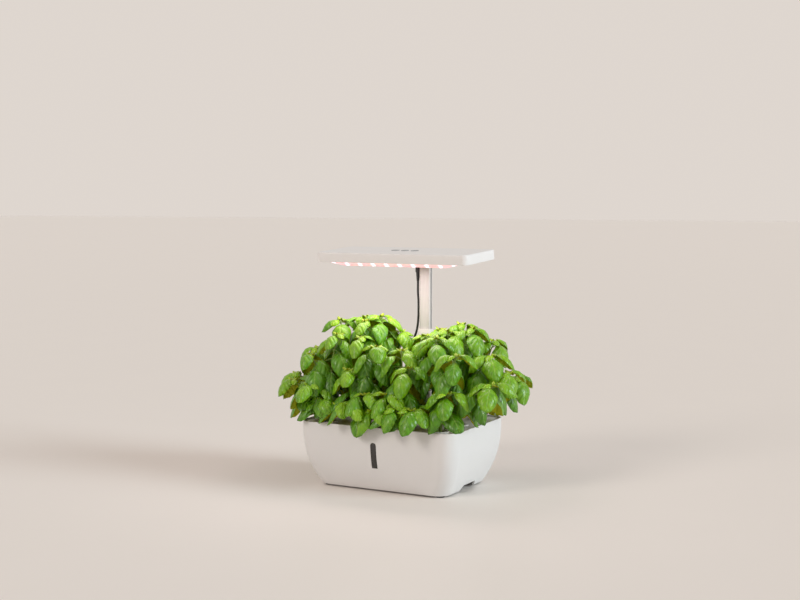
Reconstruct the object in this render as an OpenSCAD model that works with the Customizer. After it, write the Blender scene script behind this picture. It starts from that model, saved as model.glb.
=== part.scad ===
// Countertop hydroponic garden: water tank, planting deck with pots of basil,
// submersible pump, and an LED lamp head that tilts on a telescopic pole.
// Millimetres. X runs along the front, Y to the back, Z up from the table.

/* [Tank] */
// Length of the tank along the front
tank_w = 300; // [280:2:340]
// Depth of the tank from front to back
tank_d = 214; // [206:2:240]
// Height of the rim above the table
tank_h = 114; // [110:1:130]
// Thickness of the tank's wall
tank_wall = 2.5; // [2:0.1:3.5]
// Radius of the tank's upright corners
corner_r = 25; // [18:1:32]
// How far each end draws in at the bottom
end_inset = 28; // [16:1:32]
// How far the front and the back draw in at the bottom
side_inset = 24.6; // [14:0.2:28]
// How late the walls draw in: a higher value keeps them upright longer
wall_curve = 2.6; // [2:0.1:3.2]
// Gap between the tank and the table
foot_gap = 2.5; // [2:0.1:5]
// Diameter of a foot pad
foot_d = 14; // [10:0.5:18]
// Height of the floor's underside above the table
floor_z = 16; // [15:0.5:20]
// Thickness of the floor
floor_t = 3; // [2:0.1:4]
// Width of the ledge that carries the deck
ledge_w = 4; // [3:0.1:5]
// Length of a finger notch along its bottom
notch_w = 60; // [40:1:80]
// Height of a finger notch above the tank's bottom edge
notch_h = 10; // [6:0.5:12]

/* [Water window] */
// Width of the window
window_w = 11; // [8:0.5:16]
// Height of the window
window_h = 45; // [30:1:55]
// Height of the window's lower end above the table
window_z = 43; // [38:1:50]
// Gap round the window lens
window_gap = 0.15; // [0.1:0.05:0.3]

/* [Deck and pots] */
// Thickness of the deck
deck_t = 3; // [2:0.1:4]
// How far the deck's top lies below the rim
deck_drop = 3; // [2:0.1:5]
// Gap between the deck's edge and the rim
deck_gap = 0.4; // [0.3:0.05:0.8]
// Distance between the pot columns
pod_pitch_x = 71.5; // [68:0.5:76]
// Distance between the pot rows
pod_pitch_y = 73; // [68:0.5:74]
// Diameter of a pot hole in the deck
pod_hole_d = 30; // [26:0.5:32]
// Depth of a pot below the deck's top
pod_depth = 50; // [35:1:55]
// Wall thickness of a pot
pod_wall = 1.2; // [1:0.1:2]
// Diameter of the filling hole
fill_d = 16; // [12:0.5:18]

/* [Plants] */
// Reach of the foliage to each side of the middle
foliage_x = 245; // [220:1:260]
// Reach of the foliage to the front and to the back of the middle
foliage_y = 150; // [135:1:165]
// Height of the foliage's top above the table
foliage_top = 298; // [285:1:300]
// Length of a large leaf
leaf_l = 50; // [40:1:54]
// Width of a large leaf
leaf_w = 30; // [22:1:34]
// Half of the gap between the spaces of two plants
plant_gap = 0.4; // [0.3:0.05:1]

/* [Pole] */
// Width of the pole
pole_w = 20.8; // [18:0.2:24]
// Depth of the pole
pole_d = 12.7; // [11:0.1:14]
// Wall thickness of the pole
pole_wall = 1.4; // [1:0.1:2]
// From the pole's middle to the back of the tank's rim
pole_back = 19; // [18:0.5:21]
// Height of the sleeve's mouth above the table
sleeve_top = 264; // [250:1:268]
// Wall thickness of the sleeve
sleeve_wall = 1.2; // [1:0.1:1.6]
// Sliding gap on each side of the pole
slide_gap = 0.1; // [0.08:0.02:0.2]
// How far the lamp can come down from the pose shown
lamp_down = 70; // [40:1:72]
// How far the lamp can go up from the pose shown
lamp_up = 20; // [10:1:40]
// Width of the pole base
base_w = 68; // [66:1:74]
// Height of the pole base's top above the table
base_top = 122; // [120:1:126]

/* [Lamp head] */
// Length of the lamp head
head_w = 293; // [270:1:320]
// Depth of the lamp head
head_d = 118; // [110:1:126]
// Height of the lamp head's side
head_h = 17.2; // [16:0.2:20]
// Wall thickness of the lamp head
head_wall = 2; // [1.6:0.1:2.4]
// Radius of the lamp head's upright corners
head_r = 10; // [6:0.5:14]
// Height of the tilt hinge above the table
hinge_z = 400.4; // [396:0.2:410]
// Diameter of the hinge pin
hinge_pin_d = 4; // [3:0.1:4.4]
// Running gap round the hinge pin
hinge_gap = 0.06; // [0.03:0.01:0.09]
// How far the lamp head droops to the front in the pose shown, in degrees
head_droop = 3.2; // [0:0.1:5]
// How far the clear tray bulges below the rim
tray_drop = 7; // [4:0.1:8]
// Distance between neighbouring LEDs
led_pitch = 26; // [22:0.5:28]
// Diameter of an LED
led_d = 4.4; // [3:0.1:5]
// Diameter of a key
key_d = 14.5; // [10:0.5:16]
// Distance between neighbouring keys
key_pitch = 19; // [18.5:0.5:24]
// How far a key goes down
key_travel = 0.8; // [0.4:0.1:1]
// Gap round a key
key_gap = 0.25; // [0.2:0.05:0.4]

/* [Leads and plugs] */
// Diameter of the lamp lead
lead_d = 4; // [3.5:0.1:4.5]
// Diameter of a plug's body
plug_d = 9.2; // [8:0.1:9.4]
// Diameter of a plug's metal barrel
barrel_d = 5.5; // [4.5:0.1:6]

/* [Pump] */
// Width of the pump
pump_w = 34; // [32:0.5:38]
// Length of the pump's housing
pump_l = 40; // [38:0.5:44]
// Height of the pump's housing
pump_h = 34; // [32:0.5:38]
// Diameter of the magnet rotor
rotor_d = 18; // [16:0.2:20]
// Gap between the rotor and its chamber
rotor_gap = 0.4; // [0.3:0.05:0.8]
// Diameter of the pump's shaft
shaft_d = 3; // [2:0.1:4]
// Running gap between the shaft and the impeller
shaft_gap = 0.05; // [0.03:0.01:0.09]

/* [Hidden] */
$fn = 40;
cut = 1;                // how far a cutting shape runs past the face it cuts
seat = 0.05;            // gap round a piece that is pressed or glued in its seat

// Tank
corner_steps = 7;
edge_r = 2;
rim_edge = 0.5;
skirt_wall = 3.5;
ledge_z = tank_h - deck_drop - deck_t;
floor_top = floor_z + floor_t;
foot_boss_d = foot_d + 3;
foot_peg_d = foot_d / 2;
notch_slope = 7;
lens_flange = 1.4;
lens_lap = 2;
inlet_d = 11;
inlet_rim_d = inlet_d + 3;
inlet_rim_t = 1.5;
rim_gap = 0.3;

// Deck and pots
deck_top = tank_h - deck_drop;
deck_x = tank_w / 2 - tank_wall - deck_gap;
deck_y = tank_d / 2 - tank_wall - deck_gap;
deck_r = corner_r - tank_wall - deck_gap;
rib_h = 4;
rib_t = 2;
pod_seat_gap = 0.4;
pod_r = pod_hole_d / 2 - pod_seat_gap;
pod_taper = 3;
flange_t = 1.5;
flange_w = 3;
sponge_drop = 1.5;
sponge_h = 30;
sponge_r = pod_r - pod_wall - pod_taper * sponge_h / pod_depth - 0.3;
root_r = 4;
fill_edge = 6;
root_l = 20;
leaf_hang = 25;         // how far a leaf outside the tank may hang below the deck
// Walls between the spaces of the plants, halfway between the pods
PLANT_WALLS_X = [-foliage_x - plant_gap, -pod_pitch_x, 0, pod_pitch_x, foliage_x + plant_gap];
PLANT_WALLS_Y = [-foliage_y - plant_gap, -pod_pitch_y / 2, pod_pitch_y / 2, foliage_y + plant_gap];
// Each pod column, counted in pitches from the tank's middle
POD_COLUMNS = [-1.5, -0.5, 0.5, 1.5];

// Pole, sleeve and base
collar_t = 3;
sleeve_in_w = pole_w + 1.8;
sleeve_in_d = pole_d + 1.9;
sleeve_w = sleeve_in_w + 2 * sleeve_wall;
sleeve_d = sleeve_in_d + 2 * sleeve_wall;
pole_r = 2;
base_h = 52;
base_z = base_top - base_h;
sleeve_z = base_z + 4;
pole_y = tank_d / 2 - pole_back;
base_front = pole_y - 13.5;
base_back = tank_d / 2 - tank_wall - ledge_w - 0.3;
base_d = base_back - base_front;
base_mid = (base_back + base_front) / 2;
base_roof = 3;
lamp_room = base_front - 12;    // how far back the plants in front of the pole base reach
bay_wall = 3;
bay_in = sleeve_w / 2 + bay_wall;
bay_out = base_w / 2 - bay_wall;
bay_mid = (bay_in + bay_out) / 2;
bay_d = base_d - 2 * bay_wall;
glide_h = 26;
glide_z = sleeve_z + lamp_down + 4;
pole_z = glide_z + glide_h / 2;
// The glide meets the collar's skirt where the lamp is as high as it goes
collar_skirt = sleeve_top - collar_t - glide_z - glide_h - lamp_up - 0.3;
rear_z = 88;
inlet_seat_y = tank_d / 2 - drawn_in(rear_z - inlet_rim_d / 2, side_inset);
screw_x = 24;
screw_d = 3;

// Neck and hinge
hinge_r = 5.5;
neck_w = 44;
neck_front = pole_y - pole_d / 2 - 1.9;
neck_d = 17.5;
neck_z = 380;
neck_h = 26;
pole_top = neck_z + 16;
hinge_y = neck_front - hinge_r - 0.4;
knuckle_w = 14;
ear_w = 6;
ear_gap = 0.3;
pin_head_t = 1.2;
jack_x = -(pole_w / 2 + 5.8);
jack_d = 8.4;

// Lamp head, in its own frame: the hinge axis is its origin
head_back = -hinge_r - 0.8;
head_top = 11;
head_rim = head_top - head_h;
head_y = head_back - head_d / 2;
frame_t = 2;
tray_t = 1.5;
tray_x = head_w / 2 - 13;
tray_y = head_d / 2 - 6;
tray_flange = 3;
tray_slope_x = 30;
tray_slope_y = 8;
board_t = 1.2;
board_z = head_rim + frame_t + tray_t;
led_h = 3;
led_edge_x = 16;        // least distance from the outer LEDs to the tray's ends
led_edge_y = 13.5;      // and to its long sides
led_columns = floor(2 * (tray_x - led_edge_x) / led_pitch) + 1;
led_rows = floor(2 * (tray_y - led_edge_y) / led_pitch) + 1;
spreader_t = 1.5;
boss_d = 7;
screw_head_d = 5;
screw_in_x = head_w / 2 - 7;
screw_in_y = head_d / 2 - 20;
key_flange = 1.5;
key_flange_t = 1;
key_proud = 0.6;
keyboard_z = head_top - head_wall - 4.8;
board_post_x = key_pitch + key_d / 2 + 8;
mat_t = 0.4;
dome_d = 8;

// Pump
cup_h = 4;
pump_x = -pod_pitch_x;
pump_y = pod_pitch_y / 2;
pump_z = floor_top + cup_h;
pump_axis_z = pump_z + pump_h / 2;
cover_t = 3;
volute_d = 27;
volute_h = 8;
rotor_l = 22;
vane_h = 6;
outlet_d = 12;
outlet_bore = 9;
outlet_rise = 14;
socket_d = plug_d + 1.1;    // collar of the lamp socket
socket_h = 18;

// Routes of the two leads: points chosen by hand, from end to end
LAMP_LEAD = [
    [-16.2, pole_y, 350], [-16.2, pole_y, 342], [-16.2, pole_y, 330], [-15.2, pole_y, 316],
    [-15, pole_y, 300], [-15.2, pole_y, 286], [-16.4, pole_y, 272], [-19, pole_y, 259],
    [-24, pole_y, 246], [-31, pole_y, 233], [-37, pole_y, 220], [-39.5, pole_y, 207],
    [-38, pole_y, 194], [-33.5, pole_y, 181], [-28.5, pole_y, 169], [-24.4, pole_y, 158],
    [-23.25, pole_y, 147], [-23.25, pole_y, 138]
];
PUMP_LEAD = [
    [-71.5, 56.5, 48], [-71.5, 62, 48], [-69, pole_y - 19, 50], [-62, pole_y - 12, 54],
    [-52, pole_y - 7, 57], [-42, pole_y - 4, 58], [-33, pole_y - 2, 60], [-26.5, pole_y - 0.7, 66],
    [-23.6, pole_y - 0.5, 76], [-23.25, pole_y - 0.5, 88], [-23.25, pole_y - 0.5, 101]
];

// ---- Outlines and skins ----

// How far a wall has drawn in at a height, for its full inset at the table
function drawn_in(z, full) = full * pow(max(0, 1 - z / tank_h), wall_curve);

// Rounded rectangle as points at one height, counter-clockwise from the +X side
function rounded_ring(half_x, half_y, r, z) = [
    for (corner = [0:3]) for (i = [0:corner_steps])
        let (
            a = corner * 90 + i * 90 / corner_steps,
            sx = (corner == 0 || corner == 3) ? 1 : -1,
            sy = corner < 2 ? 1 : -1
        )
        [sx * (half_x - r) + r * cos(a), sy * (half_y - r) + r * sin(a), z]
];

// The tank's outline at a height, moved inwards by off
function tank_ring(z, off) = rounded_ring(
    tank_w / 2 - drawn_in(z, end_inset) - off,
    tank_d / 2 - drawn_in(z, side_inset) - off,
    corner_r - off,
    z
);

// Closed skin through rings of equally many points, from the lowest to the highest
module skin(rings) {
    n = len(rings[0]);
    last = len(rings) - 1;
    polyhedron(
        points = [for (ring = rings) each ring],
        faces = concat(
            [[for (i = [0:n - 1]) i]],
            [[for (i = [n - 1:-1:0]) last * n + i]],
            [for (k = [0:last - 1]) for (i = [0:n - 1])
                [k * n + i, (k + 1) * n + i, (k + 1) * n + (i + 1) % n]],
            [for (k = [0:last - 1]) for (i = [0:n - 1])
                [k * n + i, (k + 1) * n + (i + 1) % n, k * n + (i + 1) % n]]
        )
    );
}

// Flat rectangle with true round corners, centred on the origin
module rounded_rect(w, d, r) {
    union() {
        square([w - 2 * r, d], center = true);
        square([w, d - 2 * r], center = true);
        for (sx = [-1, 1]) for (sy = [-1, 1])
            translate([sx * (w / 2 - r), sy * (d / 2 - r)]) circle(r);
    }
}

// Upright bar with a rounded rectangular section
module bar(w, d, r, z0, z1) {
    translate([0, 0, z0]) linear_extrude(z1 - z0) rounded_rect(w, d, r);
}

// Round bar along Y from y0 to y1
module along_y(d, y0, y1) {
    translate([0, y0, 0]) rotate([-90, 0, 0]) cylinder(d = d, h = y1 - y0);
}

// Round bar along X from x0 to x1
module along_x(d, x0, x1) {
    translate([x0, 0, 0]) rotate([0, 90, 0]) cylinder(d = d, h = x1 - x0);
}

// ---- Tubes along a route ----

function unit(v) = v / norm(v);

// Point of a smooth curve through a route, at a place counted in points
function on_route(route, t) =
    let (
        n = len(route) - 1,
        i = min(floor(t), n - 1),
        u = t - i,
        a = route[max(i - 1, 0)],
        b = route[i],
        c = route[i + 1],
        d = route[min(i + 2, n)]
    )
    0.5 * ((2 * b) + (c - a) * u + (2 * a - 5 * b + 4 * c - d) * u * u
        + (3 * b - a - 3 * c + d) * u * u * u);

// Tube of even thickness along points; side_axis is never along the route
module tube(points, r, sides, side_axis) {
    n = len(points) - 1;
    rings = [
        for (i = [0:n])
            let (
                way = unit(points[min(i + 1, n)] - points[max(i - 1, 0)]),
                across = unit(cross(way, side_axis)),
                over = cross(across, way),
                ri = is_list(r) ? r[i] : r
            )
            [for (k = [0:sides - 1])
                let (a = -360 * k / sides)
                points[i] + ri * (across * cos(a) + over * sin(a))]
    ];
    skin(rings);
}

// ---- Tank ----

// Heights of the rings that every skin of the tank's wall shares, so that their facets match
function wall_levels() =
    let (low = floor_top + 5, high = ledge_z - 8, steps = 9)
    [for (k = [0:steps]) low + (high - low) * k / steps];

module tank_outer() {
    low = foot_gap + edge_r;
    skin(concat(
        [tank_ring(foot_gap, edge_r), tank_ring(foot_gap + 0.3 * edge_r, 0.3 * edge_r)],
        [for (z = [low, low + 6, floor_z]) tank_ring(z, 0)],
        [for (z = wall_levels()) tank_ring(z, 0)],
        [tank_ring(tank_h - rim_edge, 0), tank_ring(tank_h, rim_edge)]
    ));
}

module tank_cavity() {
    skin(concat(
        [tank_ring(floor_top, tank_wall + 3), tank_ring(floor_top + 1.5, tank_wall + 1)],
        [for (z = wall_levels()) tank_ring(z, tank_wall)],
        [tank_ring(ledge_z - 3, tank_wall + ledge_w), tank_ring(ledge_z + cut, tank_wall + ledge_w)]
    ));
}

// Solid inside the tank's wall, moved inwards by off, over the heights of the wall's levels
module wall_core(off) {
    skin([for (z = wall_levels()) tank_ring(z, off)]);
}

module skirt_hollow() {
    skin([for (z = [foot_gap - cut, foot_gap + edge_r, foot_gap + edge_r + 6, floor_z])
        tank_ring(z, skirt_wall)]);
}

// Places of the feet, one in each bottom corner
module at_feet() {
    x = tank_w / 2 - drawn_in(foot_gap, end_inset) - foot_d - 1;
    y = tank_d / 2 - drawn_in(foot_gap, side_inset) - foot_d - 1;
    for (sx = [-1, 1]) for (sy = [-1, 1]) translate([sx * x, sy * y, 0]) children();
}

module window_cut(gap) {
    w = window_w - 2 * gap;
    depth = side_inset + tank_wall;
    translate([0, -tank_d / 2 + depth, window_z]) rotate([90, 0, 0]) linear_extrude(depth + cut) {
        translate([-w / 2, gap]) square([w, window_h - window_w / 2 - gap]);
        translate([0, window_h - window_w / 2]) circle(d = w);
    }
}

module finger_notch() {
    translate([tank_w / 2 - end_inset - skirt_wall - 8, 0, foot_gap]) rotate([90, 0, 90])
        linear_extrude(end_inset + skirt_wall + 10)
        polygon([
            [-notch_w / 2, -cut], [notch_w / 2, -cut],
            [notch_w / 2 - notch_slope, notch_h], [-notch_w / 2 + notch_slope, notch_h]
        ]);
}

module tank() color([0.9, 0.89, 0.88]) {
    rear = tank_d / 2;
    difference() {
        tank_outer();
        tank_cavity();
        translate([0, 0, ledge_z]) linear_extrude(tank_h)
            rounded_rect(tank_w - 2 * tank_wall, tank_d - 2 * tank_wall, corner_r - tank_wall);
        difference() {
            skirt_hollow();
            at_feet() cylinder(d = foot_boss_d, h = floor_z);
        }
        at_feet() cylinder(d = foot_peg_d + 2 * seat, h = foot_gap + 5);
        for (turn = [0, 180]) rotate([0, 0, turn]) finger_notch();
        window_cut(0);
        translate([0, 0, rear_z]) {
            along_y(inlet_d + 2 * seat, rear - 12, rear + 5);
            along_y(inlet_rim_d + 2 * rim_gap, inlet_seat_y, rear + 5);
            for (sx = [-1, 1]) translate([sx * screw_x, 0, 0]) along_y(screw_d + 0.4, rear - 12, rear + 5);
        }
    }
}

module window_lens() color([0.22, 0.21, 0.2]) {
    difference() {
        union() {
            intersection() {
                tank_outer();
                window_cut(window_gap);
            }
            intersection() {
                wall_core(tank_wall + window_gap);
                window_cut(-lens_lap);
            }
        }
        wall_core(tank_wall + window_gap + lens_flange);
    }
}

module feet() color([0.35, 0.35, 0.35]) {
    at_feet() {
        cylinder(d = foot_d, h = foot_gap);
        cylinder(d = foot_peg_d, h = foot_gap + 4.5);
    }
}

// ---- Deck, pots and sponges ----

// Middle of a pod: its column counts from the left, its row from the front
function pod(column, row) = [POD_COLUMNS[column] * pod_pitch_x, (row - 1) * pod_pitch_y];

// The ten pods: four in the front and middle rows, and the outer two in the rear row
PODS = [
    for (row = [0:2]) for (column = [0:3])
        if (row < 2 || column == 0 || column == 3) pod(column, row)
];

module deck() color([0.95, 0.9, 0.89]) {
    fill_at = [deck_x - fill_d / 2 - fill_edge, -deck_y + fill_d / 2 + fill_edge + 6];
    difference() {
        union() {
            translate([0, 0, ledge_z]) linear_extrude(deck_t) rounded_rect(2 * deck_x, 2 * deck_y, deck_r);
            deck_rib();
        }
        for (p = PODS) translate([p[0], p[1], ledge_z - cut])
            cylinder(d = pod_hole_d, h = deck_t + 2 * cut);
        translate([fill_at[0], fill_at[1], ledge_z - rib_h - cut])
            cylinder(d = fill_d, h = deck_t + rib_h + 2 * cut);
        translate([-base_w / 2 - deck_gap, base_front - deck_gap, ledge_z - rib_h - cut])
            cube([base_w + 2 * deck_gap, tank_d, deck_t + rib_h + 2 * cut]);
    }
}

// Rib under the deck that keeps it centred between the ledges
module deck_rib() {
    off = ledge_w + 1;
    translate([0, 0, ledge_z - rib_h]) linear_extrude(rib_h + cut) difference() {
        rounded_rect(2 * (deck_x - off), 2 * (deck_y - off), deck_r - off);
        rounded_rect(2 * (deck_x - off - rib_t), 2 * (deck_y - off - rib_t), deck_r - off - rib_t);
    }
}

module pot(p) color([0.93, 0.92, 0.91]) {
    low = deck_top - pod_depth;
    foot_r = pod_r - pod_taper;
    slot_w = 3.6;
    translate([p[0], p[1], 0]) difference() {
        rotate_extrude() polygon([
            [0, low], [foot_r, low], [pod_r, deck_top], [pod_r + flange_w, deck_top],
            [pod_r + flange_w, deck_top + flange_t], [pod_r - pod_wall, deck_top + flange_t],
            [foot_r - pod_wall, low + pod_wall], [0, low + pod_wall]
        ]);
        for (k = [0:3]) rotate([0, 0, k * 45]) translate([-pod_r - cut, -slot_w / 2, low + 6])
            cube([2 * (pod_r + cut), slot_w, pod_depth - sponge_h / 2 - 8]);
        translate([0, 0, low - cut]) cylinder(r = foot_r / 3, h = pod_wall + 2 * cut);
    }
}

module sponges() color([0.28, 0.2, 0.15]) {
    top = deck_top + flange_t - sponge_drop;
    for (p = PODS) translate([p[0], p[1], top - sponge_h]) difference() {
        cylinder(r = sponge_r, h = sponge_h);
        translate([0, 0, -cut]) cylinder(r = root_r + 0.3, h = sponge_h + 2 * cut);
    }
}

// ---- Basil ----

// Point given as shares of the foliage's reach to the side, to the back and upwards from the deck
function in_foliage(share) = [
    share[0] * foliage_x,
    share[1] * foliage_y,
    deck_top + share[2] * (foliage_top - deck_top)
];

// Where the stems of each plant end
TIPS_FRONT_1 = [[-0.58, -0.53, 0.61], [-0.51, -0.74, 0.34], [-0.79, -0.4, 0.34], [-0.4, -0.4, 0.8]];
TIPS_FRONT_2 = [[-0.05, -0.53, 0.72], [-0.2, -0.4, 0.78], [-0.15, -0.79, 0.2], [-0.24, -0.6, 0.5]];
TIPS_FRONT_3 = [[0.1, -0.74, 0.32], [0.13, -0.42, 0.69], [0.25, -0.57, 0.56], [0.22, -0.8, 0.21]];
TIPS_FRONT_4 = [[0.59, -0.53, 0.68], [0.57, -0.68, 0.36], [0.82, -0.35, 0.42], [0.37, -0.34, 0.8],
    [0.4, -0.8, 0.21]];
TIPS_MIDDLE_1 = [[-0.5, -0.06, 0.91], [-0.76, 0.07, 0.61], [-0.92, -0.09, 0.29], [-0.36, 0.1, 0.92]];
TIPS_MIDDLE_2 = [[-0.26, -0.13, 0.92], [-0.19, 0.08, 0.94], [-0.08, 0.2, 0.8], [-0.16, 0.3, 0.42]];
TIPS_MIDDLE_3 = [[0.2, -0.07, 0.8], [0.09, 0.13, 0.72], [0.23, 0.26, 0.84], [0.16, 0.3, 0.42]];
TIPS_MIDDLE_4 = [[0.71, 0.02, 0.65], [0.37, -0.06, 0.86], [0.87, 0.04, 0.48], [0.51, 0.12, 0.88]];
TIPS_REAR_1 = [[-0.41, 0.4, 0.9], [-0.61, 0.47, 0.72], [-0.8, 0.4, 0.4], [-0.47, 0.79, 0.42]];
TIPS_REAR_2 = [[0.38, 0.33, 0.89], [0.59, 0.47, 0.74], [0.8, 0.44, 0.42], [0.48, 0.79, 0.4]];

// Pointed oval blade along X that arches down, with a raised middle
module leaf(l, w) {
    t = 1.6;
    drop = 0.32 * l;
    rise = 0.1 * w;
    polyhedron(
        points = [
            [-1, 0, 0], [0.35 * l, w / 2, -0.1 * drop], [0.7 * l, 0.4 * w, -0.55 * drop], [l, 0, -drop],
            [0.7 * l, -0.4 * w, -0.55 * drop], [0.35 * l, -w / 2, -0.1 * drop],
            [0.35 * l, 0, rise], [0.72 * l, 0, rise - 0.45 * drop],
            [0.35 * l, 0, rise - t], [0.72 * l, 0, rise - 0.45 * drop - t]
        ],
        faces = [
            [0, 1, 6], [1, 2, 7], [1, 7, 6], [2, 3, 7], [3, 4, 7], [4, 5, 6], [4, 6, 7], [5, 0, 6],
            [1, 0, 8], [2, 1, 9], [9, 1, 8], [3, 2, 9], [4, 3, 9], [5, 4, 8], [8, 4, 9], [0, 5, 8]
        ]
    );
}

// Pair of opposite leaves that leave the stem at a heading and a pitch below level, one a little higher
module leaf_pair(at, heading, pitch, size) {
    for (side = [0, 1]) translate(at + [0, 0, 0.7 * side]) rotate([0, pitch, heading + 180 * side])
        leaf(size * leaf_l, size * leaf_w);
}

// One stem from its root to a tip: leaf pairs stand crosswise, larger and lower down the stem
module stem(root, tip, turn) {
    bend = [root[0] + 0.2 * (tip[0] - root[0]), root[1] + 0.2 * (tip[1] - root[1]),
        root[2] + 0.75 * (tip[2] - root[2])];
    steps = 5;
    path = [for (k = [0:steps]) let (t = k / steps)
        (1 - t) * (1 - t) * root + 2 * t * (1 - t) * bend + t * t * tip];
    tube(path, [for (k = [0:steps]) 2.2 - 0.9 * k / steps], 5, [0.28, 0.96, 0]);
    leaf_pair(path[3], turn + 45, 38, 1);
    leaf_pair((path[4] + tip) / 2, turn, 24, 1);
    leaf_pair(tip, turn + 90, 4, 0.8);
    leaf_pair(tip, turn, -30, 0.42);
}

// Plant with its roots in a pod, kept in its own space and above the tank's rim
module plant(column, row, tips) color([0.33, 0.6, 0.12]) {
    p = pod(column, row);
    inner = column == 1 || column == 2;
    low = [PLANT_WALLS_X[column] + plant_gap, PLANT_WALLS_Y[row] + plant_gap, tank_h + 0.8];
    high = [
        PLANT_WALLS_X[column + 1] - plant_gap,
        row == 1 && inner ? lamp_room : PLANT_WALLS_Y[row + 1] - plant_gap,
        foliage_top
    ];
    translate([p[0], p[1], deck_top - root_l]) cylinder(r = root_r, h = low[2] + 1 - deck_top + root_l);
    difference() {
        intersection() {
            for (k = [0:len(tips) - 1]) stem(
                [p[0] + 1.5 * cos(120 * k), p[1] + 1.5 * sin(120 * k), deck_top],
                in_foliage(tips[k]),
                67 * k + 40 * column + 25 * row
            );
            translate([low[0], low[1], deck_top - leaf_hang])
                cube([high[0] - low[0], high[1] - low[1], high[2] - deck_top + leaf_hang]);
        }
        translate([-tank_w / 2 - 1, -tank_d / 2 - 1, 0]) cube([tank_w + 2, tank_d + 2, low[2]]);
    }
}

// ---- Pump ----

module at_pump() {
    translate([pump_x, pump_y, pump_axis_z]) children();
}

module pump_housing() color([0.13, 0.14, 0.16]) at_pump() difference() {
    translate([-pump_w / 2, -pump_l / 2, -pump_h / 2]) cube([pump_w, pump_l, pump_h]);
    along_y(volute_d, -pump_l / 2 - cut, -pump_l / 2 + volute_h);
    along_y(rotor_d + 2 * rotor_gap, -pump_l / 2, -pump_l / 2 + volute_h + rotor_l + 1);
    along_y(shaft_d + 0.06, 0, pump_l / 2 - 3);
    translate([0, -pump_l / 2 + outlet_d / 2 + 1, 0]) cylinder(d = outlet_bore, h = pump_h);
    translate([0, -pump_l / 2 + outlet_d / 2 + 1, pump_h / 2 - 2])
        cylinder(d = outlet_d + 2 * seat, h = pump_h);
}

module pump_cover() color([0.16, 0.17, 0.19]) at_pump() {
    front = -pump_l / 2;
    difference() {
        union() {
            translate([-pump_w / 2, front - cover_t, -pump_h / 2]) cube([pump_w, cover_t, pump_h]);
            along_y(shaft_d + 3, front - cover_t, front + 1);
        }
        along_y(shaft_d + 0.06, front - 2, front + 1 + cut);
        for (side = [-1, 1]) for (k = [0:2])
            translate([side * (5 + 3 * k) - 0.8, front - cover_t - cut, -8])
            cube([1.6, cover_t + 2 * cut, 16]);
    }
}

module pump_shaft() color([0.92, 0.92, 0.9]) at_pump()
    along_y(shaft_d, -pump_l / 2 - 1.8, pump_l / 2 - 3.2);

module impeller() color([0.3, 0.3, 0.33]) at_pump() {
    front = -pump_l / 2;
    vane_r = volute_d / 2 - 2;
    difference() {
        union() {
            along_y(rotor_d, front + volute_h, front + volute_h + rotor_l);
            along_y(rotor_d / 2, front + 1.6, front + volute_h);
            for (k = [0:5]) rotate([0, 60 * k, 0]) translate([0, front + 1.6, -0.8])
                cube([vane_r, vane_h, 1.6]);
        }
        along_y(shaft_d + 2 * shaft_gap, front, pump_l / 2);
    }
}

module pump_outlet() color([0.2, 0.21, 0.23]) at_pump() {
    y = -pump_l / 2 + outlet_d / 2 + 1;
    bend_r = outlet_d / 2 + 2;
    translate([0, y, pump_h / 2 - 2]) difference() {
        cylinder(d = outlet_d, h = outlet_rise + 2);
        translate([0, 0, -cut]) cylinder(d = outlet_bore, h = outlet_rise + 2 + 2 * cut);
    }
    translate([bend_r, y, pump_h / 2 + outlet_rise]) rotate([-90, 180, 0]) rotate_extrude(angle = 90)
        translate([bend_r, 0]) difference() {
            circle(d = outlet_d);
            circle(d = outlet_bore);
        }
}

module pump_cups() color([0.2, 0.2, 0.2]) {
    for (sx = [-1, 1]) for (sy = [-1, 1])
        translate([pump_x + sx * (pump_w / 2 - 6), pump_y + sy * (pump_l / 2 - 7), floor_top])
        rotate_extrude() polygon([[0, 1.2], [3.6, 0], [4.6, 0], [2.4, cup_h], [0, cup_h]]);
}

module pump_lead() color([0.08, 0.08, 0.08])
    tube([for (k = [0:2 * len(PUMP_LEAD) - 2]) on_route(PUMP_LEAD, k / 2)], lead_d / 2, 8, [0.2, -0.3, 1]);

// ---- Pole base and what it holds ----

module pole_base() color([0.9, 0.89, 0.88]) {
    wall_in = tank_d / 2 - tank_wall - drawn_in(rear_z - 6, side_inset) - 0.2;
    hole_d = screw_d + 2 * seat;
    difference() {
        union() {
            translate([0, base_mid, 0]) bar(base_w, base_d, 4, base_z, base_top);
            for (sx = [-1, 1]) translate([sx * screw_x, 0, rear_z])
                along_y(screw_d + 5, base_back - 4, wall_in);
        }
        translate([0, pole_y, 0])
            bar(sleeve_w + 2 * seat, sleeve_d + 2 * seat, pole_r + 1, sleeve_z, base_top + cut);
        for (side = [-1, 1]) translate([side * bay_mid, base_mid, 0])
            bar(bay_out - bay_in, bay_d, 1, base_z - cut, base_top - base_roof);
        translate([-bay_mid, pole_y, base_top - base_roof - cut])
            cylinder(d = socket_d + 2 * seat, h = base_roof + 2 * cut);
        translate([0, 0, rear_z]) {
            along_y(inlet_d + 2 * seat, pole_y + sleeve_d / 2 + 0.2, tank_d / 2);
            for (sx = [-1, 1]) translate([sx * screw_x, 0, 0]) along_y(hole_d, base_back - 3, tank_d / 2);
        }
    }
}

module base_screws() color([0.7, 0.7, 0.72]) {
    face = tank_d / 2 - drawn_in(rear_z - 4, side_inset);
    for (sx = [-1, 1]) translate([sx * screw_x, 0, rear_z]) difference() {
        union() {
            along_y(screw_d, base_back - 2.8, face + 1);
            along_y(2 * screw_d, face + 0.8, face + 2.4);
        }
        for (turn = [0, 90]) rotate([0, turn, 0])
            translate([-screw_d * 0.6, face + 1.6, -0.4]) cube([screw_d * 1.2, 2, 0.8]);
    }
}

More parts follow.
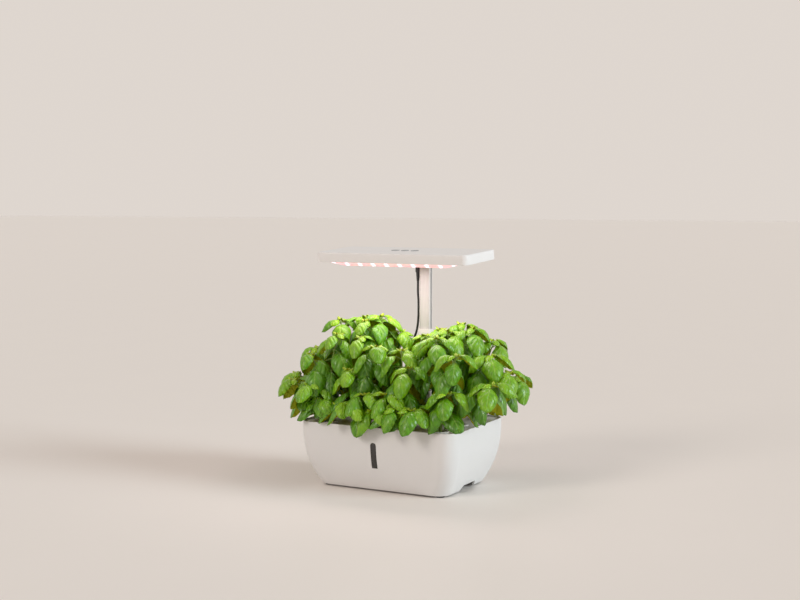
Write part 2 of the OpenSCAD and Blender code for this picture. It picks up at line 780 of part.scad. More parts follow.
module power_board() color([0.1, 0.35, 0.18]) translate([bay_mid, base_mid, 0]) {
    wide = bay_out - bay_in - 0.6;
    translate([-wide / 2, -bay_d / 2 + 0.3, base_z + 3]) cube([1.6, bay_d - 0.6, base_h - base_roof - 4]);
    translate([-wide / 2 + 1.6, -4, base_z + 8]) cube([5, 8, 9]);
    translate([-wide / 2 + 5.6, 3, base_z + 24]) cylinder(d = 7, h = 12);
    translate([-wide / 2 + 1.6, -7, base_z + 26]) cube([3, 7, 8]);
}

module dc_inlet() color([0.1, 0.1, 0.1]) translate([0, 0, rear_z]) {
    rim = inlet_seat_y + seat;
    difference() {
        union() {
            along_y(inlet_d, base_back - 3, rim + inlet_rim_t);
            along_y(inlet_rim_d, rim, rim + inlet_rim_t);
        }
        along_y(barrel_d + 0.6, base_back, rim + inlet_rim_t + cut);
    }
    along_y(2, base_back - 1, rim);
}

module lamp_socket() color([0.1, 0.1, 0.1]) translate([-bay_mid, pole_y, 0]) {
    roof = base_top - base_roof;
    wide = bay_out - bay_in - 0.6;
    difference() {
        union() {
            translate([-wide / 2, -wide / 2, roof - socket_h]) cube([wide, wide, socket_h]);
            translate([0, 0, roof - cut]) cylinder(d = socket_d, h = base_roof + cut);
        }
        translate([0, 0, roof - 12]) cylinder(d = barrel_d + 0.4, h = 12 + base_roof + cut);
    }
}

// ---- Pole ----

// Bar with a slot down each corner of its front and back, like a drawn profile
module pole() color([0.86, 0.85, 0.83]) translate([0, pole_y, 0]) difference() {
    bar(pole_w, pole_d, pole_r, pole_z, pole_top);
    bar(pole_w - 2 * pole_wall, pole_d - 2 * pole_wall, pole_r / 2, pole_z - cut, pole_top + cut);
    for (sx = [-1, 1]) for (sy = [-1, 1])
        translate([sx * (pole_w / 2 - pole_r - 0.8) - 0.4, sy * (pole_d / 2) - 0.5, pole_z - cut])
        cube([0.8, 1, pole_top - pole_z + 2 * cut]);
}

module pole_sleeve() color([0.88, 0.86, 0.85]) translate([0, pole_y, 0]) difference() {
    bar(sleeve_w, sleeve_d, pole_r + 1, sleeve_z, sleeve_top - collar_t);
    bar(sleeve_in_w, sleeve_in_d, pole_r + 0.4, sleeve_z - cut, sleeve_top);
}

module sleeve_collar() color([0.92, 0.9, 0.89]) translate([0, pole_y, 0]) difference() {
    union() {
        bar(sleeve_w, sleeve_d, pole_r + 1, sleeve_top - collar_t, sleeve_top);
        bar(sleeve_in_w - 2 * seat, sleeve_in_d - 2 * seat, pole_r + 0.4,
            sleeve_top - collar_t - collar_skirt, sleeve_top - collar_t + cut);
    }
    bar(pole_w + 2 * slide_gap, pole_d + 2 * slide_gap, pole_r,
        sleeve_top - collar_t - collar_skirt - cut, sleeve_top + cut);
}

module pole_glide() color([0.25, 0.25, 0.26]) translate([0, pole_y, 0]) difference() {
    bar(sleeve_in_w - 2 * slide_gap, sleeve_in_d - 2 * slide_gap, pole_r + 0.4, glide_z, glide_z + glide_h);
    bar(pole_w + 2 * seat, pole_d + 2 * seat, pole_r, pole_z, glide_z + glide_h + cut);
}

module neck() color([0.92, 0.91, 0.9]) {
    difference() {
        union() {
            translate([0, neck_front + neck_d / 2, 0]) bar(neck_w, neck_d, 3, neck_z, neck_z + neck_h);
            translate([0, hinge_y, hinge_z]) along_x(2 * hinge_r, -knuckle_w / 2, knuckle_w / 2);
            translate([-knuckle_w / 2, hinge_y, hinge_z - hinge_r])
                cube([knuckle_w, neck_front - hinge_y + 1, 2 * hinge_r]);
        }
        translate([0, pole_y, 0]) bar(pole_w + 2 * seat, pole_d + 2 * seat, pole_r, neck_z - cut, pole_top);
        translate([jack_x, pole_y, neck_z - cut]) cylinder(d = jack_d + 2 * seat, h = 16 + cut);
        translate([0, hinge_y, hinge_z]) along_x(hinge_pin_d + 2 * hinge_gap, -neck_w, neck_w);
    }
}

module lamp_jack() color([0.1, 0.1, 0.1]) translate([jack_x, pole_y, neck_z]) difference() {
    cylinder(d = jack_d, h = 15.9);
    translate([0, 0, -cut]) cylinder(d = barrel_d + 0.4, h = 13 + cut);
}

// ---- Lamp head ----

// Puts a shape from the lamp head's own frame at the hinge, drooping to the front
module at_hinge() {
    translate([0, hinge_y, hinge_z]) rotate([head_droop, 0, 0]) children();
}

// Ring of the lamp head's outline, moved inwards by off
function head_ring(z, off) = [
    for (p = rounded_ring(head_w / 2 - off, head_d / 2 - off, head_r - min(off, head_r - 2), z))
        p + [0, head_y, 0]
];

module head_cover() color([0.93, 0.92, 0.92]) at_hinge() {
    inner_top = head_top - head_wall;
    difference() {
        union() {
            skin([
                head_ring(head_rim, 0.6), head_ring(head_rim + 0.6, 0), head_ring(head_top - 2.4, 0),
                head_ring(head_top - 1.2, 0.3), head_ring(head_top - 0.35, 1.1), head_ring(head_top, 2.4)
            ]);
            for (side = [-1, 1]) head_ear(side);
        }
        difference() {
            skin([head_ring(head_rim - cut, head_wall), head_ring(inner_top, head_wall)]);
            at_screws() translate([0, 0, head_rim + frame_t]) cylinder(d = boss_d, h = head_h);
            for (side = [-1, 1]) translate([side * board_post_x, head_y, keyboard_z + board_t])
                cylinder(d = 6, h = head_h);
        }
        at_screws() translate([0, 0, head_rim]) cylinder(d = screw_d + 2 * seat, h = head_h - head_wall - 2);
        for (k = [-1:1]) translate([k * key_pitch, head_y, 0]) cylinder(d = key_d + 2 * key_gap, h = head_h);
        along_x(hinge_pin_d + 2 * seat, -neck_w, neck_w);
    }
}

// Ear on the head's back that holds one end of the hinge pin
module head_ear(side) {
    from = knuckle_w / 2 + ear_gap;
    low = side > 0 ? from : -from - ear_w;
    along_x(2 * hinge_r, low, low + ear_w);
    translate([low, head_back - 1, -hinge_r]) cube([ear_w, 1 - head_back, 2 * hinge_r]);
}

module hinge_pin() color([0.75, 0.75, 0.77]) at_hinge() {
    half = knuckle_w / 2 + ear_gap + ear_w;
    along_x(hinge_pin_d, -half - pin_head_t, half + pin_head_t);
    for (low = [-half - pin_head_t, half]) along_x(hinge_pin_d + 2.4, low, low + pin_head_t);
}

// Places of the six screws that hold the frame to the cover
module at_screws() {
    for (sx = [-1, 1]) for (sy = [-1, 0, 1])
        translate([sx * screw_in_x, head_y + sy * screw_in_y, 0]) children();
}

module head_frame() color([0.9, 0.89, 0.89]) at_hinge() {
    difference() {
        skin([head_ring(head_rim, head_wall + 0.2), head_ring(head_rim + frame_t, head_wall + 0.2)]);
        translate([0, head_y, head_rim - cut]) linear_extrude(frame_t + 2 * cut)
            rounded_rect(2 * tray_x - 2 * tray_flange, 2 * tray_y - 2 * tray_flange, 3);
        at_screws() translate([0, 0, head_rim - cut]) {
            cylinder(d = screw_d + 0.4, h = frame_t + 2 * cut);
            cylinder(d = screw_head_d + 0.4, h = cut + 1.2);
        }
    }
}

// Clear tray: a flange on the frame, and a shallow dish through its window
module lamp_tray() color([0.96, 0.94, 0.96, 0.6]) at_hinge() {
    in_x = tray_x - tray_flange - 0.3;
    in_y = tray_y - tray_flange - 0.3;
    low_x = in_x - tray_slope_x;
    low_y = in_y - tray_slope_y;
    z = head_rim + frame_t;
    difference() {
        union() {
            translate([0, head_y, z]) linear_extrude(tray_t) rounded_rect(2 * tray_x, 2 * tray_y, 4);
            skin([
                tray_ring(low_x, low_y, head_rim - tray_drop),
                tray_ring(in_x, in_y, head_rim), tray_ring(in_x, in_y, z + tray_t / 2)
            ]);
        }
        skin([
            tray_ring(low_x - tray_t, low_y - tray_t, head_rim - tray_drop + tray_t),
            tray_ring(in_x - tray_t, in_y - tray_t, head_rim + tray_t),
            tray_ring(in_x - tray_t, in_y - tray_t, z + tray_t + cut)
        ]);
    }
}

function tray_ring(half_x, half_y, z) = [for (p = rounded_ring(half_x, half_y, 3, z)) p + [0, head_y, 0]];

module led_board() color([0.95, 0.95, 0.95]) at_hinge()
    translate([0, head_y, board_z]) linear_extrude(board_t) rounded_rect(2 * tray_x - 2, 2 * tray_y - 2, 3);

// LEDs of one colour: the two colours take turns along each row
module leds(parity) {
    at_hinge() for (row = [0:led_rows - 1]) for (column = [0:led_columns - 1])
        if ((row + column) % 2 == parity)
            translate([
                (column - (led_columns - 1) / 2) * led_pitch,
                head_y + (row - (led_rows - 1) / 2) * led_pitch,
                board_z - led_h
            ]) cylinder(d = led_d, h = led_h);
}

module leds_white() color([1, 0.95, 1]) leds(0);

module leds_red() color([1, 0.25, 0.4]) leds(1);

module heat_spreader() color([0.75, 0.76, 0.78]) at_hinge()
    translate([0, head_y, board_z + board_t]) linear_extrude(spreader_t)
    rounded_rect(2 * tray_x - 4, 2 * tray_y - 4, 3);

module key_board() color([0.1, 0.35, 0.18]) at_hinge()
    translate([0, head_y, keyboard_z]) linear_extrude(board_t) rounded_rect(2 * board_post_x + 8, 26, 2);

module key_mat() color([0.6, 0.6, 0.62]) at_hinge() translate([0, head_y, keyboard_z + board_t]) {
    top = head_top - head_wall - key_flange_t - key_travel - 0.1 - keyboard_z - board_t;
    linear_extrude(mat_t) rounded_rect(2 * key_pitch + key_d + 2, key_d + 6, 2);
    for (k = [-1:1]) translate([k * key_pitch, 0, 0]) cylinder(d1 = dome_d, d2 = dome_d - 2, h = top);
}

module key(k) color([0.62, 0.64, 0.66]) at_hinge() translate([k * key_pitch, head_y, 0]) {
    under = head_top - head_wall - key_flange_t;
    translate([0, 0, under]) cylinder(d = key_d + 2 * key_flange, h = key_flange_t - 0.05);
    translate([0, 0, under]) rotate_extrude() polygon([
        [0, 0], [key_d / 2, 0], [key_d / 2, head_wall + key_flange_t + key_proud - 0.4],
        [key_d / 2 - 0.4, head_wall + key_flange_t + key_proud],
        [0, head_wall + key_flange_t + key_proud - 0.3]
    ]);
}

module head_screws() color([0.7, 0.7, 0.72]) at_hinge() at_screws() translate([0, 0, head_rim]) {
    cylinder(d = screw_d, h = 9);
    difference() {
        cylinder(d = screw_head_d, h = 1.1);
        for (turn = [0, 90]) rotate([0, 0, turn]) translate([-1.4, -0.35, -cut]) cube([2.8, 0.7, cut + 0.6]);
    }
}

// ---- Lamp lead ----

module lamp_lead() color([0.06, 0.06, 0.06])
    tube([for (k = [0:2 * len(LAMP_LEAD) - 2]) on_route(LAMP_LEAD, k / 2)], lead_d / 2, 8, [0.1, 1, 0.05]);

// Plug that points up from where the lead meets its strain relief
module plug(relief, body) {
    rotate_extrude() polygon([
        [0, 0], [lead_d / 2 + 0.4, 0], [0.38 * plug_d, relief], [plug_d / 2 - 0.5, relief],
        [plug_d / 2, relief + 0.5], [plug_d / 2, relief + body], [barrel_d / 2, relief + body],
        [barrel_d / 2, relief + body + 9], [0, relief + body + 9]
    ]);
}

module lead_plug_top() color([0.06, 0.06, 0.06])
    translate([jack_x, pole_y, LAMP_LEAD[0][2]]) plug(16, neck_z - LAMP_LEAD[0][2] - 16);

module lead_plug_base() color([0.06, 0.06, 0.06])
    translate([-bay_mid, pole_y, LAMP_LEAD[len(LAMP_LEAD) - 1][2]]) mirror([0, 0, 1])
    plug(8, LAMP_LEAD[len(LAMP_LEAD) - 1][2] - base_top - 8);

// ---- Nodes ----

tank();
window_lens();
feet();
deck();
pot(pod(0, 0));  // pot_front_1
pot(pod(1, 0));  // pot_front_2
pot(pod(2, 0));  // pot_front_3
pot(pod(3, 0));  // pot_front_4
pot(pod(0, 1));  // pot_middle_1
pot(pod(1, 1));  // pot_middle_2
pot(pod(2, 1));  // pot_middle_3
pot(pod(3, 1));  // pot_middle_4
pot(pod(0, 2));  // pot_rear_1
pot(pod(3, 2));  // pot_rear_2
sponges();
plant(0, 0, TIPS_FRONT_1);  // basil_front_1
plant(1, 0, TIPS_FRONT_2);  // basil_front_2
plant(2, 0, TIPS_FRONT_3);  // basil_front_3
plant(3, 0, TIPS_FRONT_4);  // basil_front_4
plant(0, 1, TIPS_MIDDLE_1);  // basil_middle_1
plant(1, 1, TIPS_MIDDLE_2);  // basil_middle_2
plant(2, 1, TIPS_MIDDLE_3);  // basil_middle_3
plant(3, 1, TIPS_MIDDLE_4);  // basil_middle_4
plant(0, 2, TIPS_REAR_1);  // basil_rear_1
plant(3, 2, TIPS_REAR_2);  // basil_rear_2
pump_housing();
pump_cover();
pump_shaft();
impeller();
pump_outlet();
pump_cups();
pump_lead();
pole_base();
base_screws();
power_board();
dc_inlet();
lamp_socket();
pole_sleeve();
sleeve_collar();
pole();
pole_glide();
neck();
lamp_jack();
hinge_pin();
head_cover();
head_frame();
lamp_tray();
led_board();
leds_white();
leds_red();
heat_spreader();
key_board();
key_mat();
head_screws();
key(-1);  // key_1
key(0);  // key_2
key(1);  // key_3
lamp_lead();
lead_plug_top();
lead_plug_base();
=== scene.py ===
import math
import random

import bmesh
import bpy
from mathutils import Matrix, Vector, noise


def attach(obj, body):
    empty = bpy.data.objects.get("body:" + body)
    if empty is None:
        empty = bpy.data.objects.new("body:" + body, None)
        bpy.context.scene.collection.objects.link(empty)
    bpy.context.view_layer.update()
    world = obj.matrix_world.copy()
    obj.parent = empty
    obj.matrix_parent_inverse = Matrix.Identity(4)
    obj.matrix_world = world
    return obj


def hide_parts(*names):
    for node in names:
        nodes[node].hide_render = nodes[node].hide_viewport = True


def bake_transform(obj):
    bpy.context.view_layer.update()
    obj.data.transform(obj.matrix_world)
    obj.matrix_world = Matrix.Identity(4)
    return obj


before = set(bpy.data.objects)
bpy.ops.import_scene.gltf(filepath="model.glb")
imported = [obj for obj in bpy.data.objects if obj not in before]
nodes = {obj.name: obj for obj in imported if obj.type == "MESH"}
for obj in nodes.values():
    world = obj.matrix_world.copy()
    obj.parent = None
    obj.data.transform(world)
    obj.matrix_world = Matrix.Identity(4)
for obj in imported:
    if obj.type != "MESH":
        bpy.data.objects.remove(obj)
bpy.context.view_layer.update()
scene = bpy.context.scene
scene.view_settings.view_transform = "Standard"
mm = 0.001


def say(stage):
    print("garden:", stage)


# Camera fitted to the photograph: a little above the lamp, from the tank's front right.
# It looks down and turns left by angles in radians.
view = {"place": (1.0685, -1.9901, 0.4942), "down": 0.0761, "turn": 0.4949,
        "lens": 58.55, "sensor": 36}


def makeCamera():
    data = bpy.data.cameras.new("camera")
    data.lens = view["lens"]
    data.sensor_width = view["sensor"]
    camera = bpy.data.objects.new("camera", data)
    camera.location = view["place"]
    camera.rotation_euler = (math.pi / 2 - view["down"], 0, view["turn"])
    scene.collection.objects.link(camera)
    scene.camera = camera


makeCamera()
say("camera")


# Material helpers: nodes with their inputs in one call, and groups with named sockets.
def addNode(tree, kind, inputs=None, **settings):
    node = tree.nodes.new(kind)
    for key, value in settings.items():
        setattr(node, key, value)
    for key, value in (inputs or {}).items():
        if isinstance(value, bpy.types.NodeSocket):
            tree.links.new(value, node.inputs[key])
        else:
            node.inputs[key].default_value = value
    return node


def calc(tree, operation, first, second=0.0):
    return addNode(tree, "ShaderNodeMath", {0: first, 1: second}, operation=operation).outputs[0]


# Noise and maps run from 0 to 1; centred, they run to either side of 0.
def centred(tree, value):
    return calc(tree, "SUBTRACT", value, 0.5)


def spread(tree, value, low, high, toLow=0.0, toHigh=1.0):
    return addNode(tree, "ShaderNodeMapRange", {0: value, 1: low, 2: high, 3: toLow, 4: toHigh},
                   interpolation_type="SMOOTHSTEP").outputs[0]


# Inputs 0, 6 and 7 and output 2 are the colour mix's own sockets.
def blendColour(tree, share, first, second):
    return addNode(tree, "ShaderNodeMix", {0: share, 6: first, 7: second},
                   data_type="RGBA").outputs[2]


def rgb(red, green, blue):
    return (red, green, blue, 1.0)


def dimmed(colour, share):
    return rgb(*[share * part for part in colour])


def objectPlace(tree):
    return addNode(tree, "ShaderNodeTexCoord").outputs["Object"]


# Stretched along Z where rise is below 1, as drawn lines and stalk fibres are.
def drawnPlace(tree, rise):
    return addNode(tree, "ShaderNodeMapping", {"Vector": objectPlace(tree),
                                               "Scale": (1.0, 1.0, rise)}).outputs[0]


def noiseAt(tree, place, scale, detail=2.0):
    return addNode(tree, "ShaderNodeTexNoise", {"Vector": place, "Scale": scale,
                                                "Detail": detail}).outputs[0]


def cellsAt(tree, place, scale):
    return addNode(tree, "ShaderNodeTexVoronoi", {"Vector": place, "Scale": scale}).outputs[0]


def bumpFrom(tree, height, strength, distance):
    return addNode(tree, "ShaderNodeBump", {"Strength": strength, "Distance": distance,
                                            "Height": height}).outputs[0]


# A skin group takes the inputs that are named and puts out colour, roughness and normal.
def newSkin(name, inputs):
    tree = bpy.data.node_groups.new(name, "ShaderNodeTree")
    for label, kind, value in inputs:
        socket = tree.interface.new_socket(label, in_out="INPUT", socket_type=kind)
        socket.default_value = value
    for label, kind in (("Colour", "NodeSocketColor"), ("Roughness", "NodeSocketFloat"),
                        ("Normal", "NodeSocketVector")):
        tree.interface.new_socket(label, in_out="OUTPUT", socket_type=kind)
    return tree, tree.nodes.new("NodeGroupInput").outputs, tree.nodes.new("NodeGroupOutput").inputs


# Moulded plastic: faint broad mottle, a fine spark-eroded grain, and slightly uneven gloss.
mouldedLook = {"grainDepth": 0.2 * mm, "mottleScale": 22.0, "mottleDetail": 3.0,
               "mottleToGloss": 1.6}


def makeMouldedSkin():
    tree, given, out = newSkin(
        "mouldedSkin",
        [("Colour", "NodeSocketColor", rgb(0.8, 0.8, 0.8)), ("Gloss", "NodeSocketFloat", 0.4),
         ("Grain", "NodeSocketFloat", 1400.0), ("Relief", "NodeSocketFloat", 0.08),
         ("Mottle", "NodeSocketFloat", 0.03)])
    place = objectPlace(tree)
    fine = noiseAt(tree, place, given["Grain"])
    broad = noiseAt(tree, place, mouldedLook["mottleScale"], mouldedLook["mottleDetail"])
    streak = calc(tree, "MULTIPLY", centred(tree, broad), given["Mottle"])
    tone = addNode(tree, "ShaderNodeHueSaturation", {"Color": given["Colour"],
                                                     "Value": calc(tree, "ADD", streak, 1.0)})
    uneven = calc(tree, "MULTIPLY", streak, mouldedLook["mottleToGloss"])
    tree.links.new(tone.outputs[0], out["Colour"])
    tree.links.new(calc(tree, "ADD", given["Gloss"], uneven), out["Roughness"])
    tree.links.new(bumpFrom(tree, fine, given["Relief"], mouldedLook["grainDepth"]), out["Normal"])
    return tree


# Drawn or brushed metal: lines along Z with small changes of tone and gloss.
brushedLook = {"stretch": 0.02, "lineDetail": 3.0, "lineDepth": 0.1 * mm, "lineToGloss": 0.12,
               "darkLine": 0.3, "lightLine": 0.7, "darkTone": 0.93, "lightTone": 1.05}


def makeBrushedSkin():
    tree, given, out = newSkin(
        "brushedSkin",
        [("Colour", "NodeSocketColor", rgb(0.7, 0.7, 0.7)), ("Gloss", "NodeSocketFloat", 0.3),
         ("Lines", "NodeSocketFloat", 900.0), ("Relief", "NodeSocketFloat", 0.1)])
    drawn = drawnPlace(tree, brushedLook["stretch"])
    lines = noiseAt(tree, drawn, given["Lines"], brushedLook["lineDetail"])
    shade = spread(tree, lines, brushedLook["darkLine"], brushedLook["lightLine"],
                   brushedLook["darkTone"], brushedLook["lightTone"])
    tone = addNode(tree, "ShaderNodeHueSaturation", {"Color": given["Colour"], "Value": shade})
    uneven = calc(tree, "MULTIPLY", lines, brushedLook["lineToGloss"])
    tree.links.new(tone.outputs[0], out["Colour"])
    tree.links.new(calc(tree, "ADD", given["Gloss"], uneven), out["Roughness"])
    tree.links.new(bumpFrom(tree, lines, given["Relief"], brushedLook["lineDepth"]), out["Normal"])
    return tree


mouldedSkin = makeMouldedSkin()
brushedSkin = makeBrushedSkin()


# Sockets are the shader's own settings, such as {"Metallic": 1.0}.
def newMaterial(name, sockets):
    material = bpy.data.materials.new(name)
    material.use_nodes = True
    shader = material.node_tree.nodes["Principled BSDF"]
    for key, value in sockets.items():
        shader.inputs[key].default_value = value
    return material, material.node_tree, shader.inputs


def skinned(name, skinTree, values, sockets):
    material, tree, shader = newMaterial(name, sockets)
    skin = addNode(tree, "ShaderNodeGroup", values, node_tree=skinTree)
    tree.links.new(skin.outputs["Colour"], shader["Base Color"])
    tree.links.new(skin.outputs["Roughness"], shader["Roughness"])
    tree.links.new(skin.outputs["Normal"], shader["Normal"])
    return material


def moulded(name, colour, gloss, relief=0.08, mottle=0.03, grain=1400.0, sockets=None):
    values = {"Colour": rgb(*colour), "Gloss": gloss, "Relief": relief, "Mottle": mottle,
              "Grain": grain}
    return skinned(name, mouldedSkin, values, sockets or {})


def brushed(name, colour, gloss, metallic, relief=0.1, lines=900.0):
    values = {"Colour": rgb(*colour), "Gloss": gloss, "Relief": relief, "Lines": lines}
    return skinned(name, brushedSkin, values, {"Metallic": metallic})


# Mesh helpers: a finished piece from its bmesh, a tube grown ring by ring, a copy of a CAD node
# whose loose triangles are merged. Edges sharper than so many degrees stay sharp in the shading.
weld = 0.02 * mm


def finishPiece(name, bm, materials, body, replaced, sharp):
    mesh = bpy.data.meshes.new(name)
    bm.to_mesh(mesh)
    bm.free()
    piece = bpy.data.objects.new(name, mesh)
    scene.collection.objects.link(piece)
    for material in materials:
        mesh.materials.append(material)
    mesh.shade_smooth()
    mesh.set_sharp_from_angle(angle=math.radians(sharp))
    if body:
        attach(piece, body)
    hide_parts(*replaced)
    return piece


def only(kind, items):
    return [item for item in items if isinstance(item, kind)]


def aimAt(point, direction):
    turn = Vector((0, 0, 1)).rotation_difference(direction)
    return Matrix.Translation(point) @ turn.to_matrix().to_4x4()


def growTube(bm, points, radii, sides, materialIndex=0):
    steps = [(b - a).normalized() for a, b in zip(points, points[1:])]
    headings = [steps[0]] + [(a + b).normalized() for a, b in zip(steps, steps[1:])] + [steps[-1]]
    made = bmesh.ops.create_circle(bm, segments=sides, radius=radii[0], cap_ends=False,
                                   matrix=aimAt(points[0], headings[0]))
    edges = list(dict.fromkeys(edge for vert in made["verts"] for edge in vert.link_edges))
    faces = list(bmesh.ops.contextual_create(bm, geom=edges)["faces"])
    for k in range(1, len(points)):
        turned = headings[k - 1].rotation_difference(headings[k]).to_matrix().to_4x4()
        goal = Matrix.Translation(points[k]) @ turned @ Matrix.Scale(radii[k] / radii[k - 1], 4)
        grown = bmesh.ops.extrude_edge_only(bm, edges=edges)["geom"]
        edges = only(bmesh.types.BMEdge, grown)
        faces += only(bmesh.types.BMFace, grown)
        bmesh.ops.transform(bm, matrix=goal @ Matrix.Translation(-points[k - 1]),
                            verts=only(bmesh.types.BMVert, grown))
    faces += bmesh.ops.contextual_create(bm, geom=edges)["faces"]
    for face in faces:
        face.material_index = materialIndex
    bmesh.ops.recalc_face_normals(bm, faces=faces)


# A smooth curve through every point of the route, in so many steps from point to point.
def smoothRoute(points, steps):
    path = []
    last = len(points) - 1
    for k in range(last):
        a, b = points[max(k - 1, 0)], points[k]
        c, d = points[k + 1], points[min(k + 2, last)]
        for i in range(steps):
            t = i / steps
            path.append(0.5 * (2 * b + (c - a) * t + (2 * a - 5 * b + 4 * c - d) * t * t
                               + (3 * b - a - 3 * c + d) * t ** 3))
    return path + [points[-1]]


def mergedMesh(nodeName):
    bm = bmesh.new()
    bm.from_mesh(nodes[nodeName].data)
    bmesh.ops.remove_doubles(bm, verts=bm.verts, dist=weld)
    return bm


def mergedCopy(nodeName, pieceName, material, body, sharp=32):
    piece = finishPiece(pieceName, mergedMesh(nodeName), [material], body, (nodeName,),
                        sharp)
    level = piece.modifiers.new("levelShading", "WEIGHTED_NORMAL")
    level.keep_sharp = True


# Leads first, in mm: the lamp's hangs in a bow beside the sleeve, the pump's runs under the deck.
lead = {"diameter": 4 * mm, "sides": 16, "steps": 5, "sharp": 60}
lampRoute = [
    (-16.2, 88, 350), (-16.2, 88, 342), (-16.2, 88, 330), (-15.2, 88, 316), (-15, 88, 300),
    (-15.2, 88, 286), (-16.4, 88, 272), (-19, 88, 259), (-24, 88, 246), (-31, 88, 233),
    (-37, 88, 220), (-39.5, 88, 207), (-38, 88, 194), (-33.5, 88, 181), (-28.5, 88, 169),
    (-24.4, 88, 158), (-23.25, 88, 147), (-23.25, 88, 138)]
pumpRoute = [
    (-71.5, 56.5, 48), (-71.5, 62, 48), (-69, 69, 50), (-62, 76, 54), (-52, 81, 57),
    (-42, 84, 58), (-33, 86, 60), (-26.5, 87.3, 66), (-23.6, 87.5, 76), (-23.25, 87.5, 88),
    (-23.25, 87.5, 101)]

leadBlack = moulded("leadBlack", (0.012, 0.012, 0.013), 0.42, relief=0.12, mottle=0.3,
                    grain=2400.0)


def makeLead(name, route, nodeName, body):
    path = smoothRoute([Vector(point) * mm for point in route], lead["steps"])
    bm = bmesh.new()
    growTube(bm, path, [lead["diameter"] / 2] * len(path), lead["sides"])
    piece = finishPiece(name, bm, [leadBlack], body, (nodeName,), lead["sharp"])
    length = sum((b - a).length for a, b in zip(path, path[1:]))
    return piece, path, length


lampCable, lampPath, lampLength = makeLead("lampCable", lampRoute, "lamp_lead", None)
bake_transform(lampCable)
pumpCable, pumpPath, pumpLength = makeLead("pumpCable", pumpRoute, "pump_lead", "tank")
say("leads %.3f and %.3f m" % (lampLength, pumpLength))


# Finishes, one for each kind of surface: colour, then roughness, then for metal how metallic.
shellWhite = moulded("shellWhite", (0.70, 0.69, 0.685), 0.36, relief=0.06)
# Painted light: the deck is white, and its pink tint stands in for the lamp's pink glow falling on
# it.
deckWhitePaintedGlow = moulded("deckWhitePaintedGlow", (0.93, 0.87, 0.85), 0.62, relief=0.10,
                    sockets={"Specular IOR Level": 0.2})
headWhite = moulded("headWhite", (0.785, 0.765, 0.757), 0.38, relief=0.05)
sleeveWhite = moulded("sleeveWhite", (0.66, 0.64, 0.62), 0.4)
potWhite = moulded("potWhite", (0.86, 0.81, 0.79), 0.6, sockets={"Specular IOR Level": 0.25})
windowSmoke = moulded("windowSmoke", (0.026, 0.023, 0.021), 0.12, relief=0.01, mottle=0.2,
                      sockets={"Coat Weight": 0.12, "Coat Roughness": 0.05})
footRubber = moulded("footRubber", (0.02, 0.02, 0.02), 0.75, relief=0.3, grain=900.0)
pumpBlack = moulded("pumpBlack", (0.02, 0.022, 0.025), 0.35)
suctionRubber = moulded("suctionRubber", (0.03, 0.03, 0.032), 0.5, relief=0.15)
contactBlack = moulded("contactBlack", (0.015, 0.015, 0.016), 0.3)
glideGrey = moulded("glideGrey", (0.2, 0.2, 0.21), 0.45)
keyGrey = moulded("keyGrey", (0.30, 0.31, 0.32), 0.5, relief=0.15)
matGrey = moulded("matGrey", (0.35, 0.35, 0.36), 0.6)
rotorGrey = moulded("rotorGrey", (0.06, 0.06, 0.065), 0.5, relief=0.2)
ceramicWhite = moulded("ceramicWhite", (0.82, 0.81, 0.78), 0.12, relief=0.02)
boardWhite = moulded("boardWhite", (0.8, 0.8, 0.79), 0.3, relief=0.05)
boardGreen = moulded("boardGreen", (0.015, 0.12, 0.045), 0.3, mottle=0.4)
poleMetal = brushed("poleMetal", (0.54, 0.52, 0.51), 0.4, 0.3, relief=0.06)
# Painted shade: the grooves' dark grey stands in for the shade in the pole's sunken faces.
grooveShadeGrey = brushed("grooveShadeGrey", (0.10, 0.10, 0.10), 0.5, 0.3)
screwSteel = brushed("screwSteel", (0.62, 0.61, 0.6), 0.25, 1.0)
spreaderMetal = brushed("spreaderMetal", (0.7, 0.71, 0.72), 0.35, 1.0)


# Clear tray with the lamps' light caught in it: spots at an even pitch, cool white and pink by
# turns, on a pink band.
glow = {"pitch": 26 * mm, "width": 5.5 * mm, "core": 0.02, "strength": 1.0,
        "cool": (0.93, 0.86, 1.0), "pink": (1.0, 0.80, 0.95), "band": (0.50, 0.17, 0.22),
        "hazeScale": 60.0, "haze": (0.9, 0.82, 0.84), "clear": (0.96, 0.9, 0.92)}


def makeTrayMaterial():
    material, tree, shader = newMaterial(
        "trayClear", {"Roughness": 0.22, "Transmission Weight": 0.15, "IOR": 1.49,
                      "Emission Strength": glow["strength"]})
    place = objectPlace(tree)
    x = addNode(tree, "ShaderNodeSeparateXYZ", {0: place}).outputs[0]
    along = calc(tree, "DIVIDE", x, glow["pitch"])
    cell = calc(tree, "FLOOR", along)
    off = calc(tree, "ABSOLUTE", centred(tree, calc(tree, "SUBTRACT", along, cell)))
    spot = spread(tree, off, glow["width"] / glow["pitch"], glow["core"])
    odd = calc(tree, "ABSOLUTE", calc(tree, "MODULO", cell, 2.0))
    tint = blendColour(tree, odd, rgb(*glow["cool"]), rgb(*glow["pink"]))
    light = blendColour(tree, spot, rgb(*glow["band"]), tint)
    cloudy = noiseAt(tree, place, glow["hazeScale"])
    base = blendColour(tree, cloudy, rgb(*glow["haze"]), rgb(*glow["clear"]))
    tree.links.new(base, shader["Base Color"])
    tree.links.new(light, shader["Emission Color"])
    return material


lampDot = {"gloss": 0.3, "strength": 3.0, "grain": 900.0, "dim": 0.9,
           "white": (1.0, 0.93, 1.0), "red": (1.0, 0.12, 0.28)}


def makeLampMaterial(name, colour):
    material, tree, shader = newMaterial(name, {"Roughness": lampDot["gloss"],
                                                "Emission Strength": lampDot["strength"]})
    phosphor = noiseAt(tree, objectPlace(tree), lampDot["grain"])
    tint = blendColour(tree, phosphor, rgb(*colour), dimmed(colour, lampDot["dim"]))
    tree.links.new(tint, shader["Base Color"])
    tree.links.new(tint, shader["Emission Color"])
    return material


trayClear = makeTrayMaterial()
lampWhite = makeLampMaterial("lampWhite", lampDot["white"])
lampRed = makeLampMaterial("lampRed", lampDot["red"])
say("finishes")

